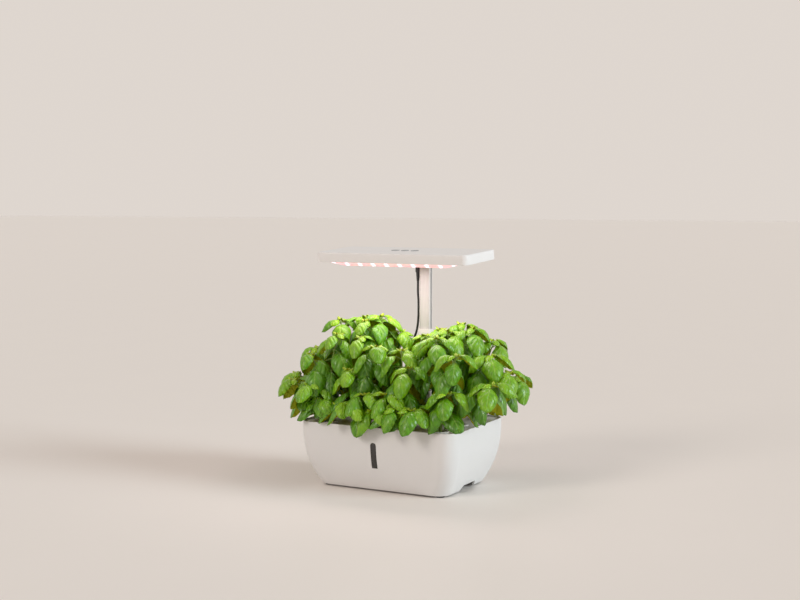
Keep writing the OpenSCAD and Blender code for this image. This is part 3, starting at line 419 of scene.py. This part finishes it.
# The large moulded skins are merged copies, shaded smooth over their curves.
mergedCopy("tank", "tankShell", shellWhite, "tank")
mergedCopy("window_lens", "waterWindow", windowSmoke, "tank", sharp=40)
mergedCopy("deck", "plantingDeck", deckWhitePaintedGlow, "deck")
mergedCopy("head_cover", "lampCover", headWhite, "lamp_head")
mergedCopy("head_frame", "lampFrame", headWhite, "lamp_head")
mergedCopy("lamp_tray", "lightTray", trayClear, "lamp_head")


# The pole's tube has a channel down the middle of each side and a fine line by each front corner;
# their sunken faces are painted dark grey as shade.
pole = {"y": 88 * mm, "front": 81.6 * mm, "side": 10.4 * mm, "channel": 3.0 * mm,
        "channelDepth": 1.0 * mm, "lineAt": 7.0 * mm, "line": 1.4 * mm, "lineDepth": 0.7 * mm,
        "levelNear": 0.02 * mm, "edgeNear": 0.01 * mm, "tooSmall": 0.001 * mm,
        "grooveShadeSlot": 1, "sharp": 30}


# Sinks the strip from low to high on the flat face at this level and gives its faces the painted
# groove shade: 0 is X and 1 is Y.
def cutGroove(bm, across, low, high, flat, level, sink):
    for edge in (low, high):
        place, normal = Vector(), Vector()
        place[across], normal[across] = edge, 1
        bmesh.ops.bisect_plane(bm, geom=bm.verts[:] + bm.edges[:] + bm.faces[:],
                               plane_co=place, plane_no=normal)
    least, most = low - pole["edgeNear"], high + pole["edgeNear"]
    strip = [face for face in bm.faces
             if all(abs(vert.co[flat] - level) < pole["levelNear"]
                    and least < vert.co[across] < most for vert in face.verts)]
    sunk = bmesh.ops.extrude_face_region(bm, geom=strip)["geom"]
    for face in strip + only(bmesh.types.BMFace, sunk):
        if face.is_valid:
            face.material_index = pole["grooveShadeSlot"]
    shift = Vector()
    shift[flat] = sink
    bmesh.ops.translate(bm, verts=only(bmesh.types.BMVert, sunk), vec=shift)


def makePole():
    bm = mergedMesh("pole")
    for side in (-1, 1):
        cutGroove(bm, 1, pole["y"] - pole["channel"] / 2, pole["y"] + pole["channel"] / 2, 0,
                  side * pole["side"], -side * pole["channelDepth"])
        low, high = sorted((side * pole["lineAt"], side * (pole["lineAt"] + pole["line"])))
        cutGroove(bm, 0, low, high, 1, pole["front"], pole["lineDepth"])
    bmesh.ops.dissolve_degenerate(bm, dist=pole["tooSmall"], edges=bm.edges)
    finishPiece("lampPole", bm, [poleMetal, grooveShadeGrey], "lamp_pole", ("pole",),
                pole["sharp"])


makePole()
say("skins")

# Nodes that keep their own mesh and get a finish; the pots are told by their names.
nodeFinish = {
    "feet": footRubber, "pump_housing": pumpBlack, "pump_cover": pumpBlack,
    "pump_outlet": pumpBlack, "pump_cups": suctionRubber, "pump_shaft": ceramicWhite,
    "impeller": rotorGrey, "head_screws": screwSteel, "base_screws": screwSteel,
    "hinge_pin": screwSteel, "power_board": boardGreen, "key_board": boardGreen,
    "led_board": boardWhite, "dc_inlet": contactBlack, "lamp_socket": contactBlack,
    "lamp_jack": contactBlack, "lead_plug_top": leadBlack, "lead_plug_base": leadBlack,
    "pole_base": shellWhite, "pole_sleeve": sleeveWhite, "sleeve_collar": sleeveWhite,
    "pole_glide": glideGrey, "neck": headWhite, "heat_spreader": spreaderMetal,
    "key_mat": matGrey, "key_1": keyGrey, "key_2": keyGrey, "key_3": keyGrey,
    "leds_white": lampWhite, "leds_red": lampRed}
for nodeName, node in nodes.items():
    finish = potWhite if nodeName.startswith("pot_") else nodeFinish.get(nodeName)
    if finish:
        for holder in node.material_slots:
            holder.material = finish

# Pods: four columns and three rows. The pole takes the middle of the rear row, so that row's two
# pods stand in the outer columns.
pods = {"pitchX": 71.5 * mm, "pitchY": 73 * mm, "top": 111 * mm, "middleColumn": 1.5,
        "rearColumns": (0, 3)}
rows = {"front": -1, "middle": 0, "rear": 1}
podNames = [(row, number) for row, count in (("front", 4), ("middle", 4), ("rear", 2))
            for number in range(1, count + 1)]


def podPlace(row, number):
    column = pods["rearColumns"][number - 1] if row == "rear" else number - 1
    return Vector(((column - pods["middleColumn"]) * pods["pitchX"], rows[row] * pods["pitchY"],
                   pods["top"]))


# Growing sponges: crumbly plugs of peat foam that fill the pots. Rise, sag and shove move the
# points of their rough surface.
sponge = {"height": 30 * mm, "radius": 11.3 * mm, "taper": 0.93, "sides": 28, "rings": 2,
          "ringWidth": 2.5 * mm, "riseScale": 320, "rise": 0.5 * mm, "sag": 0.4 * mm,
          "shoveScale": 280, "shove": 0.35 * mm, "shoveFrom": (7, 0, 0), "sharp": 50,
          "crumbScale": 650.0, "crumbStrength": 0.7, "crumbDepth": 1.0 * mm,
          "poreScale": 420.0, "poreDetail": 5.0,
          "dark": (0.012, 0.008, 0.006), "light": (0.10, 0.06, 0.035)}


def makeSpongeMaterial():
    material, tree, shader = newMaterial("spongeBrown", {"Roughness": 0.95})
    place = objectPlace(tree)
    crumbs = cellsAt(tree, place, sponge["crumbScale"])
    pores = noiseAt(tree, place, sponge["poreScale"], sponge["poreDetail"])
    tint = blendColour(tree, pores, rgb(*sponge["dark"]), rgb(*sponge["light"]))
    tree.links.new(tint, shader["Base Color"])
    tree.links.new(bumpFrom(tree, crumbs, sponge["crumbStrength"], sponge["crumbDepth"]),
                   shader["Normal"])
    return material


def makeSponges():
    bm = bmesh.new()
    for row, number in podNames:
        centre = podPlace(row, number) - Vector((0, 0, sponge["height"] / 2))
        made = bmesh.ops.create_cone(
            bm, cap_ends=True, cap_tris=False, segments=sponge["sides"],
            radius1=sponge["taper"] * sponge["radius"], radius2=sponge["radius"],
            depth=sponge["height"], matrix=Matrix.Translation(centre))
        touched = dict.fromkeys(face for vert in made["verts"] for face in vert.link_faces)
        ends = [face for face in touched if len(face.verts) == sponge["sides"]]
        for _ in range(sponge["rings"]):
            bmesh.ops.inset_region(bm, faces=ends, thickness=sponge["ringWidth"], depth=0.0)
    for vert in bm.verts:
        vert.co.z += noise.noise(vert.co * sponge["riseScale"]) * sponge["rise"] - sponge["sag"]
        spot = vert.co * sponge["shoveScale"] + Vector(sponge["shoveFrom"])
        vert.co.x += noise.noise(spot) * sponge["shove"]
    bmesh.ops.recalc_face_normals(bm, faces=bm.faces)
    finishPiece("growingSponges", bm, [makeSpongeMaterial()], "deck",
                ("sponges",), sponge["sharp"])


makeSponges()
say("sponges")


# Leaf skin: ribs from the leaf's own map, puffed blade between them, tone from each leaf's
# attribute. A pair of shares is where a rib or a fade begins and ends. The tones run from the dark
# green of old leaves to the yellow green of the tips.
ribs = {"pairs": 5.5, "sweep": 1.5, "sweepPower": 1.3, "sideRib": (0.22, 0.02),
        "fadeToEdge": (0.95, 0.5), "midRib": (0.11, 0.02), "sideShare": 0.16, "midShare": 0.32,
        "sideColour": (0.32, 0.52, 0.06), "midColour": (0.36, 0.55, 0.09)}
blade = {"puff": 1.2 * mm, "puffStrength": 0.9, "puffRise": (0.0, 0.8), "midSink": 0.8,
         "cloudScale": 90.0, "cloudDetail": 3.0, "cloudToTone": 0.35, "cellScale": 900.0,
         "cellHeight": 0.05, "cloudSpan": (0.3, 0.7), "gloss": (0.30, 0.42)}
leafTones = [(0.0, (0.012, 0.070, 0.001)), (0.35, (0.105, 0.30, 0.002)),
             (0.65, (0.29, 0.53, 0.004)), (1.0, (0.55, 0.64, 0.04))]


def toneRamp(tree, value, stops):
    node = addNode(tree, "ShaderNodeValToRGB", {0: value})
    elements = node.color_ramp.elements
    for element, (position, colour) in zip(elements, (stops[0], stops[-1])):
        element.position = position
        element.color = rgb(*colour)
    for position, colour in stops[1:-1]:
        elements.new(position).color = rgb(*colour)
    return node.outputs[0]


def makeLeafSkin():
    tree, given, out = newSkin("leafSkin", [("Tone", "NodeSocketFloat", 0.4)])
    leafMap = addNode(tree, "ShaderNodeUVMap", uv_map="leafMap").outputs[0]
    split = addNode(tree, "ShaderNodeSeparateXYZ", {0: leafMap}).outputs
    side = calc(tree, "ABSOLUTE", calc(tree, "MULTIPLY", centred(tree, split[1]), 2.0))
    bent = calc(tree, "MULTIPLY", calc(tree, "POWER", side, ribs["sweepPower"]), ribs["sweep"])
    wave = calc(tree, "SUBTRACT", calc(tree, "MULTIPLY", split[0], ribs["pairs"]), bent)
    ridge = calc(tree, "MULTIPLY", calc(tree, "PINGPONG", wave, 0.5), 2.0)
    sideRib = calc(tree, "MULTIPLY", spread(tree, ridge, *ribs["sideRib"]),
                   spread(tree, side, *ribs["fadeToEdge"]))
    midRib = spread(tree, side, *ribs["midRib"])
    place = objectPlace(tree)
    cloudy = noiseAt(tree, place, blade["cloudScale"], blade["cloudDetail"])
    clouded = calc(tree, "MULTIPLY", centred(tree, cloudy), blade["cloudToTone"])
    green = toneRamp(tree, calc(tree, "ADD", given["Tone"], clouded), leafTones)
    ribbed = blendColour(tree, calc(tree, "MULTIPLY", sideRib, ribs["sideShare"]), green,
                         rgb(*ribs["sideColour"]))
    veined = blendColour(tree, calc(tree, "MULTIPLY", midRib, ribs["midShare"]), ribbed,
                         rgb(*ribs["midColour"]))
    puffed = calc(tree, "SUBTRACT", spread(tree, ridge, *blade["puffRise"]),
                  calc(tree, "MULTIPLY", midRib, blade["midSink"]))
    cells = calc(tree, "MULTIPLY", cellsAt(tree, place, blade["cellScale"]), blade["cellHeight"])
    normal = bumpFrom(tree, calc(tree, "ADD", puffed, cells), blade["puffStrength"], blade["puff"])
    tree.links.new(veined, out["Colour"])
    tree.links.new(spread(tree, cloudy, *blade["cloudSpan"], *blade["gloss"]), out["Roughness"])
    tree.links.new(normal, out["Normal"])
    return tree


leafSkin = makeLeafSkin()

# Light comes through a leaf; its underside is paler and duller than its top. The underside's bright
# olive-yellow is partly its own paler colour and partly painted light shining through the leaf.
leafLight = {"Subsurface Weight": 0.45, "Subsurface Radius": (0.9, 1.0, 0.15),
             "Subsurface Scale": 0.5 * mm}
topLook = {"Specular IOR Level": 0.34, "Coat Weight": 0.28, "Coat Roughness": 0.2}
underLook = {"Specular IOR Level": 0.25, "Roughness": 0.6}
# Underside tint: partly the underside's own paler colour, partly painted light coming through the
# leaf.
paleLitUnder = {"share": 0.75, "colour": (0.62, 0.60, 0.02)}


def makeLeafMaterial(name, paleLitShare, look):
    material, tree, shader = newMaterial(name, {**leafLight, **look})
    tone = addNode(tree, "ShaderNodeAttribute", attribute_name="leafTone").outputs["Fac"]
    skin = addNode(tree, "ShaderNodeGroup", node_tree=leafSkin)
    tree.links.new(tone, skin.inputs["Tone"])
    tree.links.new(blendColour(tree, paleLitShare, skin.outputs["Colour"], rgb(*paleLitUnder["colour"])),
                   shader["Base Color"])
    if not paleLitShare:
        tree.links.new(skin.outputs["Roughness"], shader["Roughness"])
    tree.links.new(skin.outputs["Normal"], shader["Normal"])
    return material


stemLook = {"gloss": 0.5, "stretch": 0.15, "stripeScale": 420.0, "relief": 0.3,
            "depth": 0.3 * mm, "dark": (0.10, 0.20, 0.02), "light": (0.34, 0.46, 0.09)}


def makeStemMaterial():
    material, tree, shader = newMaterial("stemGreen", {"Roughness": stemLook["gloss"]})
    stripes = noiseAt(tree, drawnPlace(tree, stemLook["stretch"]), stemLook["stripeScale"])
    tint = blendColour(tree, stripes, rgb(*stemLook["dark"]), rgb(*stemLook["light"]))
    tree.links.new(tint, shader["Base Color"])
    tree.links.new(bumpFrom(tree, stripes, stemLook["relief"], stemLook["depth"]),
                   shader["Normal"])
    return material


leafTop = makeLeafMaterial("leafTop", 0.0, topLook)
leafUnder = makeLeafMaterial("leafUnder", paleLitUnder["share"], underLook)
stemGreen = makeStemMaterial()
plantMaterials = [leafTop, leafUnder, stemGreen]
underSlot = plantMaterials.index(leafUnder)
stemSlot = plantMaterials.index(stemGreen)

# Basil: every stem ends in a crown of curled tips over crosswise pairs of domed, drooping leaves.
stem = {"low": 2.1 * mm, "high": 1.1 * mm, "sides": 7, "steps": 7, "leanPower": 1.5,
        "risePower": 1.25, "ring": 3.2 * mm, "sunk": 4 * mm, "bareBelow": 26 * mm}

# A blade's faces, the stations of its midline, and its shape in shares of its length and width:
# the fold is a shallow valley along the midrib.
leafShape = {"thickness": 0.45 * mm, "alongFaces": 7, "acrossFaces": 4, "stations": 28,
             "bendPower": 1.9, "swellPower": 0.85, "endWidth": 0.03, "widerAtBase": 0.13,
             "cupNarrows": 0.14, "rippleRadians": 9, "fold": 0.05, "foldSlope": 3, "foldStart": 4,
             "checkSteps": 4, "sharp": 60}

# The stalk that joins a blade to its stem; the smallest tips have none that shows.
stalk = {"share": 0.22, "leastLeaf": 15 * mm, "bow": 0.3 * mm, "at": (0, 0.5, 1.04),
         "radii": (0.9 * mm, 0.7 * mm, 0.6 * mm), "sides": 5}

# Where no leaf may go: through the tank and deck, round the pole and lead, past the reach. A leaf
# that does is lifted by these degrees in turn, and left out when none is enough.
limits = {"rim": 116.5 * mm, "halfWidth": 153 * mm, "halfDepth": 110 * mm,
          "poleX": (-46 * mm, 20 * mm), "poleY": 73 * mm,
          "reachX": 252 * mm, "reachY": 158 * mm, "top": 298 * mm, "lifts": (0, 25, 50)}

# What chance gives a stem's swing and then each leaf. Size is a factor, width and ripple are shares
# of the leaf's length, cup is one of its half width, phase is in radians, and the others are added
# to what the crown says, tone as it is and the rest in degrees.
chance = {"swing": (-18, 18), "size": (0.88, 1.12), "cross": (-14, 14), "width": (0.58, 0.68),
          "first": (-9, 9), "last": (-10, 10), "cup": (0.5, 0.85), "ripple": (0.0, 0.018),
          "phase": (0, 6), "roll": (-14, 14), "tone": (-0.08, 0.08)}
swingFrom = 45  # degrees from straight outwards to a stem's first pair
rowSeeds = {"front": 100, "middle": 200, "rear": 300}

# Below the tip in mm, leaf length in mm, first and last pitch in degrees, tone, and which way the
# pair crosses in degrees.
crown = [
    (1, 6, 78, 45, 0.94, 0), (2, 11, 62, 12, 0.82, 90), (4, 25, 48, -50, 0.58, 45),
    (7, 46, 36, -78, 0.46, 0), (14, 54, 20, -84, 0.39, 90), (27, 56, -2, -86, 0.33, 40),
    (42, 55, -16, -88, 0.27, 125), (60, 50, -24, -88, 0.18, 20)]

# Tips of the stems in mm, placed after the photograph and, where hidden, to fill the dome.
tips = {
    ("front", 1): [(-141, -80, 226), (-124, -110, 176), (-190, -60, 175), (-95, -60, 262),
                   (-100, -106, 152)],
    ("front", 2): [(-8, -80, 246), (-50, -60, 258), (-35, -118, 150), (-58, -90, 205),
                   (-12, -112, 168), (-66, -112, 148)],
    ("front", 3): [(25, -110, 171), (30, -60, 240), (60, -85, 215), (56, -120, 150),
                   (6, -118, 142)],
    ("front", 4): [(144, -80, 239), (140, -100, 179), (200, -52, 190), (87, -44, 262),
                   (76, -116, 148)],
    ("middle", 1): [(-122, -10, 283), (-185, 10, 225), (-212, -15, 180), (-85, 15, 286)],
    ("middle", 2): [(-64, -20, 283), (-48, 10, 290), (-20, 30, 262), (-40, 45, 190)],
    ("middle", 3): [(50, -10, 262), (22, 20, 248), (55, 40, 268), (40, 50, 190)],
    ("middle", 4): [(174, 0, 232), (88, -8, 272), (205, 0, 205), (125, 20, 275)],
    ("rear", 1): [(-100, 60, 282), (-150, 70, 245), (-195, 60, 185), (-115, 118, 190)],
    ("rear", 2): [(92, 44, 279), (145, 70, 250), (195, 66, 190), (118, 118, 185)]}


# A flat leaf, one unit long and wide, that every leaf is bent from. Its underside lies lower.
def makeLeafBlank():
    bm = bmesh.new()
    leafMap = bm.loops.layers.uv.new("leafMap")
    bmesh.ops.create_grid(bm, x_segments=leafShape["alongFaces"],
                          y_segments=leafShape["acrossFaces"], size=0.5)
    for face in bm.faces:
        for loop in face.loops:
            loop[leafMap].uv = (loop.vert.co.x + 0.5, loop.vert.co.y + 0.5)
    sheet = bmesh.ops.extrude_face_region(bm, geom=bm.faces[:], use_keep_orig=True)["geom"]
    bmesh.ops.translate(bm, verts=only(bmesh.types.BMVert, sheet),
                        vec=(0, 0, -leafShape["thickness"]))
    for face in only(bmesh.types.BMFace, sheet):
        face.material_index = underSlot
    bmesh.ops.recalc_face_normals(bm, faces=bm.faces)
    mesh = bpy.data.meshes.new("leafBlank")
    bm.to_mesh(mesh)
    bm.free()
    return mesh


leafBlank = makeLeafBlank()


# A leaf's midline: it bends most near its stalk, then hangs nearly straight to its tip.
def leafSpine(leaf):
    spine = []
    reach, rise, before = 0.0, 0.0, (0.0, leaf["first"])
    for k in range(leafShape["stations"] + 1):
        along = 0.5 - 0.5 * math.cos(math.pi * k / leafShape["stations"])
        bend = 1 - (1 - along) ** leafShape["bendPower"]
        pitch = leaf["first"] + (leaf["last"] - leaf["first"]) * bend
        step = leaf["length"] * (along - before[0])
        reach += step * math.cos((pitch + before[1]) / 2)
        rise += step * math.sin((pitch + before[1]) / 2)
        before = (along, pitch)
        spine.append((reach, rise, pitch, along))
    return spine


# Where a point of a leaf lies: along its midline, out to the side, and off the blade.
def leafPoint(leaf, share, across, depth):
    reach, rise, pitch, along = leaf["spine"][round(share * leafShape["stations"])]
    swell = max(math.sin(math.pi * share), 0) ** leafShape["swellPower"]
    taper = 1 + leafShape["widerAtBase"] * math.cos(math.pi * share)
    half = leaf["width"] / 2 * (leafShape["endWidth"] + swell * taper)
    edge = abs(across)
    wave = math.sin(leafShape["rippleRadians"] * along + leaf["phase"])
    off = depth - leaf["cup"] * half * edge ** 2 + leaf["ripple"] * edge * wave
    valley = max(0, 1 - edge * leafShape["foldSlope"])
    off -= leafShape["fold"] * leaf["width"] * valley * min(1, leafShape["foldStart"] * along)
    return Vector((
        reach - off * math.sin(pitch),
        across * half * (1 - leafShape["cupNarrows"] * leaf["cup"]),
        rise + off * math.cos(pitch)))


def leafClear(points):
    poleLow, poleHigh = limits["poleX"]
    for point in points:
        overTank = abs(point.x) < limits["halfWidth"] and abs(point.y) < limits["halfDepth"]
        if overTank and point.z < limits["rim"]:
            return False
        if poleLow < point.x < poleHigh and point.y > limits["poleY"]:
            return False
        if abs(point.x) > limits["reachX"] or abs(point.y) > limits["reachY"]:
            return False
        if point.z > limits["top"]:
            return False
    return True


def growLeaf(bm, toneLayer, node, heading, leaf):
    turn = (Matrix.Translation(node) @ Matrix.Rotation(heading, 4, "Z")
            @ Matrix.Rotation(leaf["roll"], 4, "X"))
    reach = stalk["share"] * leaf["length"]
    for lift in limits["lifts"]:
        first = leaf["first"] + math.radians(lift)
        shaped = dict(leaf, first=first, last=leaf["last"] + math.radians(lift))
        shaped["spine"] = leafSpine(shaped)
        start = Vector((reach * math.cos(first), 0, reach * math.sin(first)))
        checks = [turn @ (start + leafPoint(shaped, k / leafShape["checkSteps"], across, 0))
                  for k in range(leafShape["checkSteps"] + 1) for across in (-1, 0, 1)]
        if leafClear(checks):
            break
    else:
        return
    begun = len(bm.verts)
    bm.from_mesh(leafBlank)
    bm.verts.ensure_lookup_table()
    for vert in bm.verts[begun:]:
        spot = leafPoint(shaped, vert.co.x + 0.5, vert.co.y * 2, vert.co.z)
        vert.co = turn @ (start + spot)
        vert[toneLayer] = leaf["tone"]
    if leaf["length"] > stalk["leastLeaf"]:
        bent = [turn @ (start * t + Vector((0, 0, stalk["bow"] * math.sin(math.pi * t))))
                for t in stalk["at"]]
        growTube(bm, bent, stalk["radii"], stalk["sides"], stemSlot)


# A stem leaves its pot steeply and leans out more towards its tip.
def stemPath(base, tip):
    lean = tip - base
    path = []
    for k in range(stem["steps"] + 1):
        t = k / stem["steps"]
        out = t ** stem["leanPower"]
        up = 1 - (1 - t) ** stem["risePower"]
        path.append(base + Vector((lean.x * out, lean.y * out, lean.z * up)))
    return path


# The point at this distance from the path's end, or none where the path is shorter.
def belowTip(path, distance):
    for a, b in zip(path[::-1], path[-2::-1]):
        step = (b - a).length
        if distance <= step:
            return a.lerp(b, distance / step)
        distance -= step
    return None


def makePlant(row, number):
    rng = random.Random(rowSeeds[row] + number)

    def draw(key):
        return rng.uniform(*chance[key])

    bm = bmesh.new()
    bm.loops.layers.uv.new("leafMap")
    toneLayer = bm.verts.layers.float.new("leafTone")
    foot = podPlace(row, number)
    plantTips = tips[(row, number)]
    for k, tip in enumerate(plantTips):
        ring = 2 * math.pi * k / len(plantTips)
        base = foot + Vector((stem["ring"] * math.cos(ring), stem["ring"] * math.sin(ring),
                              -stem["sunk"]))
        path = stemPath(base, Vector(tip) * mm)
        radii = [stem["low"] + (stem["high"] - stem["low"]) * i / stem["steps"]
                 for i in range(len(path))]
        growTube(bm, path, radii, stem["sides"], stemSlot)
        outward = math.atan2(tip[1] * mm - foot.y / 2, tip[0] * mm - foot.x / 2)
        swing = outward + math.radians(swingFrom + draw("swing"))
        for below, length, first, last, tone, cross in crown:
            node = belowTip(path, below * mm)
            if node is None or node.z < foot.z + stem["bareBelow"]:
                continue
            for opposite in (0, math.pi):
                size = length * mm * draw("size")
                heading = swing + math.radians(cross + draw("cross")) + opposite
                leaf = {
                    "length": size, "width": size * draw("width"),
                    "first": math.radians(first + draw("first")),
                    "last": math.radians(last + draw("last")),
                    "cup": draw("cup"), "ripple": size * draw("ripple"),
                    "phase": draw("phase"), "roll": math.radians(draw("roll")),
                    "tone": tone + draw("tone")}
                growLeaf(bm, toneLayer, node, heading, leaf)
    return finishPiece("basil%s%d" % (row.capitalize(), number), bm, plantMaterials, "deck",
                       ("basil_%s_%d" % (row, number),), leafShape["sharp"])


for row, number in podNames:
    plant = makePlant(row, number)
    say("%s %d faces" % (plant.name, len(plant.data.polygons)))


# Plain pale floor and soft studio light: warm from all round, with a cooler, brighter light on
# the right end. Directions lead from the object to the light.
stage = {"size": 30.0, "colour": (0.84, 0.785, 0.74), "gloss": 0.5, "cloudScale": 6.0,
         "cloudDim": 0.985, "sky": (0.735, 0.675, 0.625),
         "ambientColour": (1.0, 0.905, 0.84), "ambientLow": 0.50, "ambientHigh": 0.47,
         "ambientRise": (0.1, 0.8)}
sunLights = {
    "keyLight": {"from": (2.6, 0.3, 0.95), "strength": 2.15, "spread": 25,
                 "colour": (0.81, 0.94, 1.0)},
    "frontLight": {"from": (-0.9, -2.0, 1.15), "strength": 1.05, "spread": 22,
                   "colour": (1.0, 0.93, 0.87)}}
growGlow = {"place": (0.0, -0.01, 0.372), "size": (0.27, 0.09), "watts": 0.5,
            "colour": (1.0, 0.88, 0.88)}


def makeFloor():
    bm = bmesh.new()
    bmesh.ops.create_grid(bm, x_segments=1, y_segments=1, size=stage["size"])
    mesh = bpy.data.meshes.new("floor")
    bm.to_mesh(mesh)
    bm.free()
    floor = bpy.data.objects.new("floor", mesh)
    scene.collection.objects.link(floor)
    material, tree, shader = newMaterial("floorPale", {"Roughness": stage["gloss"]})
    cloud = noiseAt(tree, objectPlace(tree), stage["cloudScale"])
    tree.links.new(blendColour(tree, cloud, rgb(*stage["colour"]),
                               dimmed(stage["colour"], stage["cloudDim"])),
                   shader["Base Color"])
    mesh.materials.append(material)


def makeSun(name, sun):
    data = bpy.data.lights.new(name, "SUN")
    data.energy = sun["strength"]
    data.angle = math.radians(sun["spread"])
    data.color = sun["colour"]
    light = bpy.data.objects.new(name, data)
    light.rotation_euler = (-Vector(sun["from"])).to_track_quat("-Z", "Y").to_euler()
    scene.collection.objects.link(light)


# The lamp's own light on deck and leaves, from a panel just below the tray. It rides on the head.
def makeGrowGlow():
    data = bpy.data.lights.new("growGlow", "AREA")
    data.shape = "RECTANGLE"
    data.size, data.size_y = growGlow["size"]
    data.energy = growGlow["watts"]
    data.color = growGlow["colour"]
    light = bpy.data.objects.new("growGlow", data)
    light.location = growGlow["place"]
    scene.collection.objects.link(light)
    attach(light, "lamp_head")


# The sky that the camera, gloss and clear parts see is plain and pale; its light is dimmer.
def makeWorld():
    world = bpy.data.worlds.new("studio")
    world.use_nodes = True
    scene.world = world
    tree = world.node_tree
    paths = addNode(tree, "ShaderNodeLightPath").outputs
    seen = calc(tree, "MAXIMUM", paths["Is Camera Ray"],
                calc(tree, "MAXIMUM", paths["Is Glossy Ray"], paths["Is Transmission Ray"]))
    place = addNode(tree, "ShaderNodeTexCoord").outputs["Generated"]
    rise = addNode(tree, "ShaderNodeSeparateXYZ", {0: place}).outputs[2]
    ambient = blendColour(tree, spread(tree, rise, *stage["ambientRise"]),
                          dimmed(stage["ambientColour"], stage["ambientLow"]),
                          dimmed(stage["ambientColour"], stage["ambientHigh"]))
    tree.links.new(blendColour(tree, seen, ambient, rgb(*stage["sky"])),
                   tree.nodes["Background"].inputs["Color"])


makeFloor()
makeWorld()
for name, sun in sunLights.items():
    makeSun(name, sun)
makeGrowGlow()
say("stage and lights")
